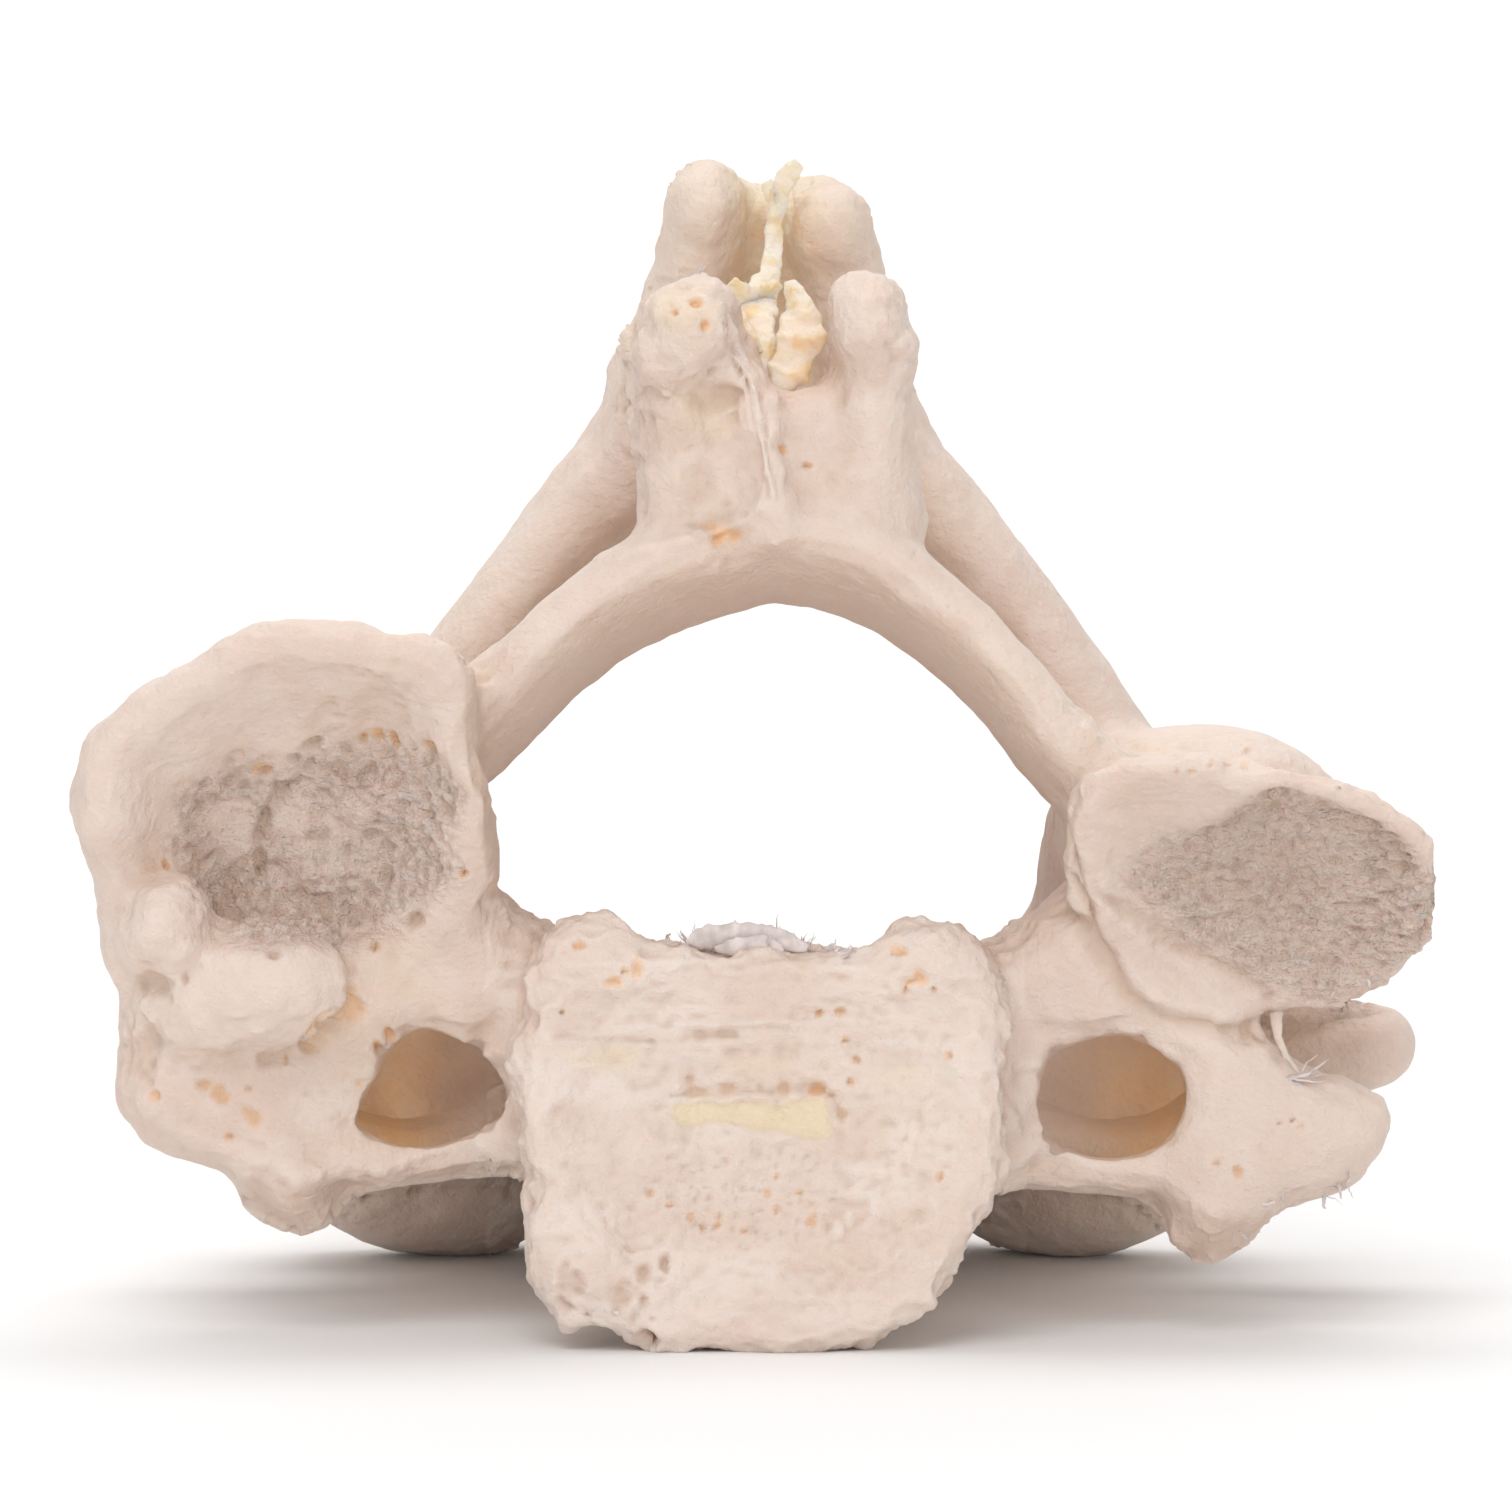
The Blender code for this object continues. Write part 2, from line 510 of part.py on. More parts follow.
def fuse(piece, voxel):
    """Fuses overlapping closed shapes into one skin."""
    remesh = piece.modifiers.new("fuse", "REMESH")
    remesh.mode = "VOXEL"
    remesh.voxel_size = voxel * MM
    apply_modifiers(piece)


def cut_away(piece, cutter):
    """Takes the cutter out of the piece, and removes the cutter."""
    cut = piece.modifiers.new("cut", "BOOLEAN")
    cut.operation = "DIFFERENCE"
    cut.solver = "MANIFOLD"
    cut.object = cutter
    apply_modifiers(piece)
    bpy.data.objects.remove(cutter)


def soften(piece, passes, strength):
    """Rounds creases left where shapes were fused."""
    smooth = piece.modifiers.new("soften", "SMOOTH")
    smooth.iterations = passes
    smooth.factor = strength
    apply_modifiers(piece)


def swell(piece, amount):
    """Moves the whole surface outward along its normals."""
    grow = piece.modifiers.new("swell", "DISPLACE")
    grow.strength = amount * MM
    grow.mid_level = 0.0
    apply_modifiers(piece)


def lighten(piece, faces):
    """Thins the mesh to about the given number of triangles."""
    present = sum(len(p.vertices) - 2 for p in piece.data.polygons)
    thin = piece.modifiers.new("lighten", "DECIMATE")
    thin.ratio = min(1.0, faces / present)
    thin.use_collapse_triangulate = True
    apply_modifiers(piece)


def whole_bone():
    """The fused bone before it is parted, in bone axes."""
    shapes = third_body() + axis_body() + third_pedicles() + third_right_facet()
    shapes += third_left_facet() + third_side_processes() + third_laminae() + third_spinous()
    shapes += axis_laminae() + axis_spinous()
    for side in (-1.0, 1.0):
        shapes += upper_facet(side) + axis_pillar(side) + axis_side_process(side)
    bone = join_meshes(shapes, "whole_bone")
    fuse(bone, FUSE_VOXEL)
    for cutter in artery_cutters():
        cut_away(bone, cutter)
    fuse(bone, FUSE_VOXEL)
    soften(bone, ROUNDING_PASSES, ROUNDING_STRENGTH)
    swell(bone, ROUNDING_LOSS)
    return bone


def rest_turn(bone):
    """The turn about X at which both vertebrae touch the floor with their fronts."""
    third = [v.co.yz for v in bone.data.vertices if v.co.y < THIRD_END * MM]
    axis = [v.co.yz for v in bone.data.vertices if v.co.y > AXIS_START * MM]
    low, high = math.radians(-15.0), math.radians(15.0)
    for _ in range(40):
        turn = (low + high) / 2
        c, s = math.cos(turn), math.sin(turn)
        third_floor = min(y * s + z * c for y, z in third)
        axis_floor = min(y * s + z * c for y, z in axis)
        if axis_floor > third_floor:
            high = turn
        else:
            low = turn
    return Matrix.Rotation(turn, 4, "X")


def lay_down(bone):
    """Turns the bone on to its front, sets it on the floor and wears small flats on it."""
    turn = rest_turn(bone)
    bone.data.transform(turn)
    corners = [vertex.co for vertex in bone.data.vertices]
    low = Vector(min(c[i] for c in corners) for i in range(3))
    high = Vector(max(c[i] for c in corners) for i in range(3))
    lift = Vector((-(low.x + high.x) / 2, -(low.y + high.y) / 2, -low.z - FLAT_DEPTH * MM))
    bone.data.transform(Matrix.Translation(lift))
    floor = convex_region([((0.0, 0.0, 0.0), (0.0, 0.0, -1.0))], Matrix.Identity(4), 0.0)
    cut_away(bone, floor)
    return Matrix.Translation(lift) @ turn


def convex_region(planes, place, gap):
    """A convex block bounded by planes, each a point on it and a direction into the block."""
    mesh = bmesh.new()
    bmesh.ops.create_cube(mesh, size=2 * REGION_REACH * MM)
    for point, inward in planes:
        inward = Vector(inward).normalized()
        cut = bmesh.ops.bisect_plane(
            mesh, geom=mesh.verts[:] + mesh.edges[:] + mesh.faces[:],
            plane_co=(Vector(point) + inward * gap / 2) * MM, plane_no=-inward,
            clear_outer=True, dist=1e-7)
        edges = [item for item in cut["geom_cut"] if isinstance(item, bmesh.types.BMEdge)]
        bmesh.ops.contextual_create(mesh, geom=edges)
    bmesh.ops.recalc_face_normals(mesh, faces=mesh.faces)
    data = bpy.data.meshes.new("region")
    mesh.to_mesh(data)
    mesh.free()
    data.transform(place)
    region = bpy.data.objects.new("region", data)
    bpy.context.scene.collection.objects.link(region)
    return region


def largest_shell(piece):
    """Keeps only the largest closed surface of the piece."""
    mesh = bmesh.new()
    mesh.from_mesh(piece.data)
    left = set(mesh.verts)
    shells = []
    while left:
        grown = {left.pop()}
        edge = list(grown)
        while edge:
            vertex = edge.pop()
            for link in vertex.link_edges:
                other = link.other_vert(vertex)
                if other in left:
                    left.remove(other)
                    grown.add(other)
                    edge.append(other)
        shells.append(grown)
    shells.sort(key=len)
    scraps = [vertex for shell in shells[:-1] for vertex in shell]
    bmesh.ops.delete(mesh, geom=scraps, context="VERTS")
    mesh.to_mesh(piece.data)
    mesh.free()


def flipped(planes):
    """The same planes facing the other way."""
    return [(point, tuple(-n for n in inward)) for point, inward in planes]


def part_regions():
    """The named parts and the planes that bound each of them, in bone axes."""
    below_arch_gap = [((0.0, ARCH_GAP_LEVEL, 0.0), (0.0, -1.0, 0.0))]
    above_arch_gap = flipped(below_arch_gap)
    below_fused = [((0.0, FUSED_LEVEL, 0.0), (0.0, -1.0, 0.0))]
    before_canal = [((0.0, 0.0, -4.0), (0.0, 0.0, -1.0))]
    walls = [((side * BODY_WALL, FUSED_LEVEL, 0.0), (-side, -WALL_LEAN, 0.0))
             for side in (1.0, -1.0)]
    below_dens = [((0.0, DENS_ROOT, 0.0), (0.0, -1.0, 0.0))]
    below_facet = [((0.0, PILLAR_TOP, 0.0), (0.0, -1.0, 0.0))]
    third_before_fork = [((0.0, 0.0, 11.2), (0.0, 0.0, -1.0))]
    axis_before_fork = [((0.0, 0.0, 13.8), (0.0, 0.0, -1.0))]
    below_axis_fork = [((0.0, 8.7, 0.0), (0.0, -1.0, 0.0))]

    regions = {
        "third_body": below_fused + before_canal + walls,
        "axis_body": flipped(below_fused) + before_canal + walls + below_dens,
        "axis_dens": before_canal + walls + flipped(below_dens),
        "third_spinous_process": flipped(third_before_fork) + below_axis_fork,
        "axis_spinous_process": flipped(axis_before_fork) + flipped(below_axis_fork),
    }
    for name, side, wall in (("right", 1.0, walls[0]), ("left", -1.0, walls[1])):
        outside = flipped([wall])
        own_half = [((0.4, 0.0, 0.0), (side, 0.0, 0.0))]
        third_root = [((side * 13.4, 0.0, 1.4), (-side * 0.85, 0.0, 0.53))]
        axis_root = [((side * 15.6, 0.0, -0.2), (-side * 0.62, 0.0, 0.78))]
        before_pillar = [((0.0, 0.0, -11.0), (0.0, 0.0, -1.0))]
        regions[f"third_joint_process_{name}"] = (
            outside + below_arch_gap + flipped(before_pillar) + flipped(third_root))
        regions[f"third_side_process_{name}"] = outside + below_fused + before_pillar
        regions[f"third_lamina_{name}"] = (
            own_half + flipped(before_canal) + below_arch_gap + third_root
            + third_before_fork)
        regions[f"axis_pillar_{name}"] = (
            outside + above_arch_gap + below_facet + flipped(before_pillar)
            + flipped(axis_root))
        regions[f"axis_side_process_{name}"] = (
            outside + flipped(below_fused) + below_facet + before_pillar)
        regions[f"axis_joint_process_{name}"] = outside + flipped(below_facet)
        regions[f"axis_lamina_{name}"] = (
            own_half + flipped(before_canal) + above_arch_gap + axis_root + axis_before_fork)
    return regions


def clinging(name, shapes, bone, place):
    """A scrap fused from shapes and trimmed to stand a hair off the bone it clings to."""
    scrap = join_meshes(shapes, name)
    fuse(scrap, SCRAP_VOXEL)
    soften(scrap, 3, 0.5)
    scrap.data.transform(place)
    guard = bpy.data.objects.new("guard", bone.data.copy())
    bpy.context.scene.collection.objects.link(guard)
    swell(guard, CUT_GAP)
    fuse(guard, CUT_GAP)
    cut_away(scrap, guard)
    largest_shell(scrap)
    lighten(scrap, SCRAP_FACES)
    scrap.data.materials.clear()
    scrap.data.shade_smooth()
    return scrap


def finish_named(name, colour, roughness):
    """A dry, matt finish."""
    finish = bpy.data.materials.new(name)
    finish.use_nodes = True
    shader = finish.node_tree.nodes["Principled BSDF"]
    shader.inputs["Base Color"].default_value = (*colour, 1.0)
    shader.inputs["Roughness"].default_value = roughness
    shader.inputs["Metallic"].default_value = 0.0
    return finish


def main():
    for old in list(bpy.data.objects):
        bpy.data.objects.remove(old)
    bone = whole_bone()
    place = lay_down(bone)
    lighten(bone, WHOLE_FACES)
    finish = finish_named("dry_bone", (0.80, 0.66, 0.55), 0.62)
    horn = finish_named("dried_ligament", (0.84, 0.68, 0.46), 0.5)
    for name, scraps in ligament_remains().items():
        scrap = clinging(name, scraps, bone, place)
        scrap.data.materials.append(horn)
    for name, planes in part_regions().items():
        node = bpy.data.objects.new(name, bone.data.copy())
        node.data.name = name
        bpy.context.scene.collection.objects.link(node)
        region = convex_region(planes, place, CUT_GAP)
        trim = node.modifiers.new("part", "BOOLEAN")
        trim.operation = "INTERSECT"
        trim.solver = "MANIFOLD"
        trim.object = region
        apply_modifiers(node)
        bpy.data.objects.remove(region)
        largest_shell(node)
        node.data.materials.clear()
        node.data.materials.append(finish)
        node.data.shade_smooth()
    bpy.data.objects.remove(bone)
    return place


main()
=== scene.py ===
"""Looks for two neck vertebrae that have grown together, shown as a still museum specimen.

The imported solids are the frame. One skin is grown over all the bone solids, closes the thin
cuts between them, and is then worked like a sculpture: pits, ridges, worn joint surfaces and
porous ends are pressed into it in code. Places on the bone are given in bone axes and in
millimetres: X to the person's right, Y up the neck and Z to the person's back.
"""

import math
import random

import bmesh
import bpy
import numpy as np
from bpy.props import FloatProperty, FloatVectorProperty, PointerProperty
from mathutils import Matrix, Vector
from mathutils.bvhtree import BVHTree


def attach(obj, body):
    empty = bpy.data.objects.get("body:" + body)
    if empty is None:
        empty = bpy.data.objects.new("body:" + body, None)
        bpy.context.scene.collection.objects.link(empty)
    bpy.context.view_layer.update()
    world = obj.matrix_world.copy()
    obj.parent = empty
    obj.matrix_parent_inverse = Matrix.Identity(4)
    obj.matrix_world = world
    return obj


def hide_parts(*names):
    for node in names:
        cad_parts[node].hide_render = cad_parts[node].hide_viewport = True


bl_info = {
    "name": "Fused vertebrae",
    "version": (1, 0, 0),
    "blender": (4, 5, 0),
    "location": "3D View > Sidebar > Vertebrae",
    "description": "Builds the fused neck vertebrae, their scraps of ligament and a pale stage",
    "category": "Object",
}

MM = 0.001
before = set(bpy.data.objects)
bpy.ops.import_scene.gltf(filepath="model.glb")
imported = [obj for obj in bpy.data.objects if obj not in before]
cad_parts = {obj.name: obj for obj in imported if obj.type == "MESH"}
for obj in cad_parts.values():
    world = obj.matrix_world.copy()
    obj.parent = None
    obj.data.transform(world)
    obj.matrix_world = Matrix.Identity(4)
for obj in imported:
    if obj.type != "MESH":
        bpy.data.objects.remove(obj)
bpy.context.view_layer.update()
SCRAP_NODES = ("ligament_strip", "ligament_flap")
BONE_NODES = tuple(sorted(set(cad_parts) - set(SCRAP_NODES)))

# How the bone lies: turned about X on to its front, then lifted on to the floor
REST_PITCH = math.atan2(0.0741, 0.9973)
REST_SHIFT = Vector((-0.0754, -24.8021, 25.2994))
BONE_TO_ROW = Matrix.Translation(REST_SHIFT * MM) @ Matrix.Rotation(-REST_PITCH, 4, "X")

# Places "seen from below" are where an eye this far below the neck, in mm, sees them
EYE_REACH = 450.0
# Stains kept on the mesh. The browner one is mostly painted shade in hollows, creases and undersides, with
# some real browner places; the orange one is a real stain that also stands for light through thin bone in
# the channels.
STAINS = ("marrow_stain_and_glow", "worn", "chalk", "blush", "yellow", "painted_shade_and_stain")


class BoneSettings(bpy.types.PropertyGroup):
    """Sizes and colours of the bone's skin."""

    grain: FloatProperty(
        name="Mesh grain", description="Edge length of the skin's mesh, in millimetres",
        default=0.145, min=0.1, max=1.0)
    bridge: FloatProperty(
        name="Bridge", description="How far each solid swells to close the cuts, in millimetres",
        default=0.24, min=0.1, max=0.5)
    ivory: FloatVectorProperty(
        name="Bone colour", description="Colour of clean, dense bone", subtype="COLOR",
        default=(0.80, 0.66, 0.575), min=0.0, max=1.0)
    blush: FloatVectorProperty(
        name="Blush", description="Pinkish tone that drifts over the bone", subtype="COLOR",
        default=(0.76, 0.60, 0.51), min=0.0, max=1.0)
    chalk: FloatVectorProperty(
        name="Chalk", description="Pale tone of rubbed edges and knobs", subtype="COLOR",
        default=(0.85, 0.735, 0.665), min=0.0, max=1.0)
    worn: FloatVectorProperty(
        name="Worn joint", description="Dull tone of the worn joint surfaces", subtype="COLOR",
        default=(0.90, 0.71, 0.62), min=0.0, max=1.0)
    # Painted shade: the browner tone laid into hollows, creases, undersides and crowded places where shade
    # falls; on the right joint floor and a few pits it is also a real browner tone.
    shadow: FloatVectorProperty(
        name="Hollows", description="Browner tone of grooves and hollows", subtype="COLOR",
        default=(0.60, 0.42, 0.31), min=0.0, max=1.0)
    disc: FloatVectorProperty(
        name="Disc remnant", description="Yellow tone of the dried strip of disc", subtype="COLOR",
        default=(0.84, 0.70, 0.51), min=0.0, max=1.0)
    # Partly painted light: an orange stain in pits, made light enough that in the channels it also stands
    # for light shining through their thin walls.
    marrow_stain_and_glow: FloatVectorProperty(
        name="Marrow stain", description="Orange stain in pits and channels", subtype="COLOR",
        default=(0.95, 0.58, 0.29), min=0.0, max=1.0)


class ScrapSettings(bpy.types.PropertyGroup):
    """Sizes and colours of the dried ligament and the loose fibres."""

    crumple: FloatProperty(
        name="Crumple", description="How deep the ligament's folds are, in millimetres",
        default=0.2, min=0.0, max=1.0)
    thickness: FloatProperty(
        name="Fibre thickness", description="Radius of a fibre at its root, in millimetres",
        default=0.055, min=0.02, max=0.3)
    cream: FloatVectorProperty(
        name="Ligament", description="Pale colour of the dried ligament", subtype="COLOR",
        default=(0.85, 0.71, 0.59), min=0.0, max=1.0)
    # Painted shade: this deeper tone is laid into the ligament's concave folds where shade falls; it also
    # drifts at random over the ligament as its own tone.
    amber_and_fold_shade: FloatVectorProperty(
        name="Ligament folds", description="Amber colour deep in the folds", subtype="COLOR",
        default=(0.82, 0.58, 0.35), min=0.0, max=1.0)
    ridge: FloatVectorProperty(
        name="Ligament ridges", description="Pale colour of the ligament's edges", subtype="COLOR",
        default=(0.87, 0.78, 0.70), min=0.0, max=1.0)
    fibre: FloatVectorProperty(
        name="Fibre", description="Colour of the loose fibres and flakes", subtype="COLOR",
        default=(0.82, 0.72, 0.69), min=0.0, max=1.0)


class StageSettings(bpy.types.PropertyGroup):
    """The floor, lights and camera."""

    floor: FloatVectorProperty(
        name="Floor colour", description="Colour of the seamless floor", subtype="COLOR",
        default=(0.93, 0.93, 0.93), min=0.0, max=1.0)
    distance: FloatProperty(
        name="Camera distance", description="From the lens to the bone's lower end, in metres",
        default=0.45, min=0.2, max=5.0, unit="LENGTH")
    frame_width: FloatProperty(
        name="Frame width", description="Width seen at the bone's lower end, in metres",
        default=0.06462, min=0.01, max=1.0, unit="LENGTH")
    key: FloatProperty(
        name="Key light", description="Power of the large lamp above, in watts",
        default=1.12, min=0.0)
    fill: FloatProperty(
        name="Fill light", description="Power of the lamp by the camera, in watts",
        default=0.7, min=0.0)
    back: FloatProperty(
        name="Back light", description="Power of the lamp on the backdrop, in watts",
        default=6.0, min=0.0)
    sky: FloatProperty(
        name="Sky", description="Brightness of the white surroundings", default=0.48, min=0.0)


class Settings(bpy.types.PropertyGroup):
    """Everything a user may change."""

    bone: PointerProperty(type=BoneSettings)
    scraps: PointerProperty(type=ScrapSettings)
    stage: PointerProperty(type=StageSettings)


# Noise on arrays of points


def hashed(cell, seed):
    """A repeatable random number from 0 to 1 for each integer cell."""
    x, y, z = (cell[..., i].astype(np.int64) for i in range(3))
    h = x * 374761393 + y * 668265263 + z * 2147483647 + seed * 974711
    h = (h ^ (h >> 13)) * 1274126177
    h = (h ^ (h >> 16)) & 0xFFFFFF
    return h / float(0xFFFFFF)


def waves(points, size, seed=0):
    """Smooth noise from -1 to 1 with features about size across."""
    spots = points / size
    base = np.floor(spots)
    part = spots - base
    part = part * part * (3 - 2 * part)
    total = np.zeros(len(points))
    for dx in (0, 1):
        for dy in (0, 1):
            for dz in (0, 1):
                corner = hashed(base + (dx, dy, dz), seed)
                weight = (np.abs(1 - dx - part[:, 0]) * np.abs(1 - dy - part[:, 1])
                          * np.abs(1 - dz - part[:, 2]))
                total += corner * weight
    return total * 2 - 1


def rough(points, size, octaves, seed=0):
    """Layered noise from about -1 to 1."""
    total = np.zeros(len(points))
    share = 1.0
    for octave in range(octaves):
        total += share * waves(points, size / 2**octave, seed + 17 * octave)
        share *= 0.5
    return total / (2 - 2 ** (1 - octaves))


def cells(points, size, seed=0):
    """Distance to the nearest scattered point, from 0 to about 1."""
    spots = points / size
    base = np.floor(spots)
    nearest = np.full(len(points), 9.0)
    for dx in (-1, 0, 1):
        for dy in (-1, 0, 1):
            for dz in (-1, 0, 1):
                cell = base + (dx, dy, dz)
                jitter = np.stack([hashed(cell, seed + k) for k in (1, 2, 3)], axis=1)
                gap = np.linalg.norm(cell + jitter - spots, axis=1)
                nearest = np.minimum(nearest, gap)
    return nearest


def fade(values, start, end):
    """0 below start, 1 above end, and smooth between; falls instead where end is lower."""
    share = np.clip((values - start) / (end - start), 0.0, 1.0)
    return share * share * (3 - 2 * share)


# Mesh helpers


def read_points(mesh):
    """The mesh's vertices as an array, in metres."""
    flat = np.empty(len(mesh.vertices) * 3, dtype=np.float32)
    mesh.vertices.foreach_get("co", flat)
    return flat.reshape(-1, 3).astype(np.float64)


def write_points(mesh, points):
    """Moves the mesh's vertices."""
    mesh.vertices.foreach_set("co", points.astype(np.float32).ravel())
    mesh.update()


def read_normals(mesh):
    """The mesh's vertex normals as an array."""
    flat = np.empty(len(mesh.vertices) * 3, dtype=np.float32)
    mesh.vertex_normals.foreach_get("vector", flat)
    return flat.reshape(-1, 3).astype(np.float64)


def read_edges(mesh):
    """The mesh's edges as pairs of vertex numbers."""
    flat = np.empty(len(mesh.edges) * 2, dtype=np.int32)
    mesh.edges.foreach_get("vertices", flat)
    return flat.reshape(-1, 2)


def spread(values, edges, rounds):
    """Averages values with their neighbours along the edges."""
    count = len(values)
    ends = np.concatenate([edges[:, 0], edges[:, 1]])
    others = np.concatenate([edges[:, 1], edges[:, 0]])
    degree = np.maximum(np.bincount(ends, minlength=count), 1)
    columns = values.reshape(count, -1)
    for _ in range(rounds):
        fresh = np.stack([np.bincount(ends, weights=columns[others, k], minlength=count) / degree
                          for k in range(columns.shape[1])], axis=1)
        columns = 0.5 * columns + 0.5 * fresh
    return columns.reshape(values.shape)


def spread_some(values, edges, pick, rounds):
    """Averages only the picked values with their neighbours."""
    chosen = np.zeros(len(values), dtype=bool)
    chosen[pick] = True
    near = edges[chosen[edges[:, 0]] | chosen[edges[:, 1]]]
    numbers, packed = np.unique(near, return_inverse=True)
    local = spread(values[numbers], packed.reshape(-1, 2), rounds)
    result = values.copy()
    held = chosen[numbers]
    result[numbers[held]] = local[held]
    return result


def to_bone(points):
    """Row points in metres, as bone points in millimetres."""
    turn = np.array(BONE_TO_ROW.inverted())
    return (points @ turn[:3, :3].T + turn[:3, 3]) / MM


def add_object(name, mesh):
    """A new object in the scene."""
    piece = bpy.data.objects.new(name, mesh)
    bpy.context.scene.collection.objects.link(piece)
    return piece


def apply_modifiers(piece):
    """Replaces the object's mesh with its evaluated one and clears its modifiers."""
    graph = bpy.context.evaluated_depsgraph_get()
    result = bpy.data.meshes.new_from_object(piece.evaluated_get(graph))
    piece.modifiers.clear()
    old = piece.data
    piece.data = result
    bpy.data.meshes.remove(old)


def skin_over(nodes, name, grain, bridge):
    """One closed skin over copies of the given nodes, with the cuts between them closed."""
    mesh = bmesh.new()
    for node in nodes:
        mesh.from_mesh(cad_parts[node].data)
    bmesh.ops.remove_doubles(mesh, verts=mesh.verts, dist=1e-6)
    data = bpy.data.meshes.new(name)
    mesh.to_mesh(data)
    mesh.free()
    piece = add_object(name, data)
    swell = piece.modifiers.new("swell", "DISPLACE")
    swell.mid_level = 0.0
    swell.strength = bridge * MM
    remesh = piece.modifiers.new("remesh", "REMESH")
    remesh.mode = "VOXEL"
    remesh.voxel_size = grain * MM
    apply_modifiers(piece)
    edges = read_edges(piece.data)
    points = read_points(piece.data)
    points = spread(points, edges, 3)
    write_points(piece.data, points)
    points -= read_normals(piece.data) * bridge * MM
    points = spread(points, edges, 3)
    write_points(piece.data, points)
    return piece


class Skin:
    """A mesh under work: its places in bone axes, how far each will move, and its stains, some of which
    are painted shade.
    """

    def __init__(self, piece):
        self.piece = piece
        self.edges = read_edges(piece.data)
        self.stains = {name: np.zeros(len(piece.data.vertices)) for name in STAINS}
        self.read()

    def read(self):
        """Takes places, normals and what shows from below again from the mesh."""
        mesh = self.piece.data
        turn = np.array(BONE_TO_ROW.inverted())[:3, :3]
        self.places = to_bone(read_points(mesh))
        self.normals = read_normals(mesh) @ turn.T
        reach = 1 + self.places[:, 1] / EYE_REACH
        self.u = self.places[:, 0] / reach
        self.v = self.places[:, 2] / reach
        self.wobble = 0.6 * waves(self.places, 0.9, 5) + 0.4 * waves(self.places, 0.4, 7)
        self.lift = np.zeros(len(self.places))
        self.shown = self.first_seen() * fade(-self.normals[:, 1], -0.15, 0.1)

    def first_seen(self):
        """1 on what an eye below the neck meets first, 0 on what lies behind it."""
        across = np.floor((self.u + 40) / 0.4).astype(int)
        up = np.floor((self.v + 40) / 0.4).astype(int)
        cell = across * 200 + up
        nearest = np.full(200 * 200, 99.0)
        np.minimum.at(nearest, cell, self.places[:, 1])
        return fade(self.places[:, 1] - nearest[cell], 2.2, 1.0)

    def write(self):
        """Moves the mesh by the gathered lift along its normals, then reads it again."""
        self.places += self.normals * self.lift[:, None]
        self.write_places()

    def write_places(self):
        """Moves the mesh to the places as they are, then reads it again."""
        turn = np.array(BONE_TO_ROW)
        write_points(self.piece.data, self.places * MM @ turn[:3, :3].T + turn[:3, 3])
        self.read()

    def around(self, low, high):
        """Numbers of the shown points between two corners, seen from below."""
        return np.flatnonzero((self.u > low[0]) & (self.u < high[0]) & (self.v > low[1])
                              & (self.v < high[1]) & (self.shown > 0))

    def stain(self, name, pick, amount):
        """Deepens a stain, or painted shade, on the picked points."""
        held = self.stains[name]
        held[pick] = np.maximum(held[pick], amount)


def press(skin, u, v, radius, depth, stain=0.0, crisp=0.25, name="marrow_stain_and_glow", ragged=0.5):
    """A pit at a place seen from below, or a knob where depth is negative."""
    reach = 1.8 * radius
    pick = skin.around((u - reach, v - reach), (u + reach, v + reach))
    turn = 3.0 * (u + v)
    across = skin.u[pick] - u
    up = skin.v[pick] - v
    along = across * math.cos(turn) + up * math.sin(turn)
    away = np.hypot(0.8 * along, 1.15 * (up * math.cos(turn) - across * math.sin(turn))) / radius
    away *= 1 + ragged * skin.wobble[pick]
    share = fade(away, 1.0, crisp) * skin.shown[pick]
    skin.lift[pick] -= depth * share
    if stain:
        skin.stain(name, pick, stain * fade(away, 1.05, 0.5) * skin.shown[pick])


def pits(skin, spots, depth, stain, crisp=0.25, name="marrow_stain_and_glow", ragged=0.5):
    """Several pits of one kind, each given by its place and radius."""
    for u, v, radius in spots:
        press(skin, u, v, radius, depth, stain, crisp, name, ragged)


def stroke(skin, path, width, depth, stain=0.0, name="marrow_stain_and_glow", ragged=0.3):
    """A groove along a path seen from below, or a ridge where depth is negative."""
    path = np.array(path)
    pick = skin.around(path.min(0) - 2 * width, path.max(0) + 2 * width)
    away = np.full(len(pick), 99.0)
    for start, end in zip(path[:-1], path[1:]):
        away = np.minimum(away, to_segment(skin.u[pick], skin.v[pick], start, end))
    away *= (1 + ragged * skin.wobble[pick]) / width
    share = fade(away, 1.0, 0.1) * skin.shown[pick]
    skin.lift[pick] -= depth * share
    if stain:
        skin.stain(name, pick, stain * share)


def to_segment(u, v, start, end):
    """Distance from each point to a straight piece of a path."""
    run = end - start
    share = ((u - start[0]) * run[0] + (v - start[1]) * run[1]) / (run @ run)
    share = np.clip(share, 0.0, 1.0)
    return np.hypot(u - start[0] - share * run[0], v - start[1] - share * run[1])


def smooth_loop(corners, steps=6):
    """Points of a closed curve that runs smoothly through the corners."""
    corners = np.array(corners, dtype=float)
    before, after, beyond = (np.roll(corners, shift, axis=0) for shift in (1, -1, -2))
    points = []
    for step in range(steps):
        t = step / steps
        points.append(0.5 * (2 * corners + (after - before) * t
                             + (2 * before - 5 * corners + 4 * after - beyond) * t**2
                             + (3 * corners - before - 3 * after + beyond) * t**3))
    return np.stack(points, axis=1).reshape(-1, 2)


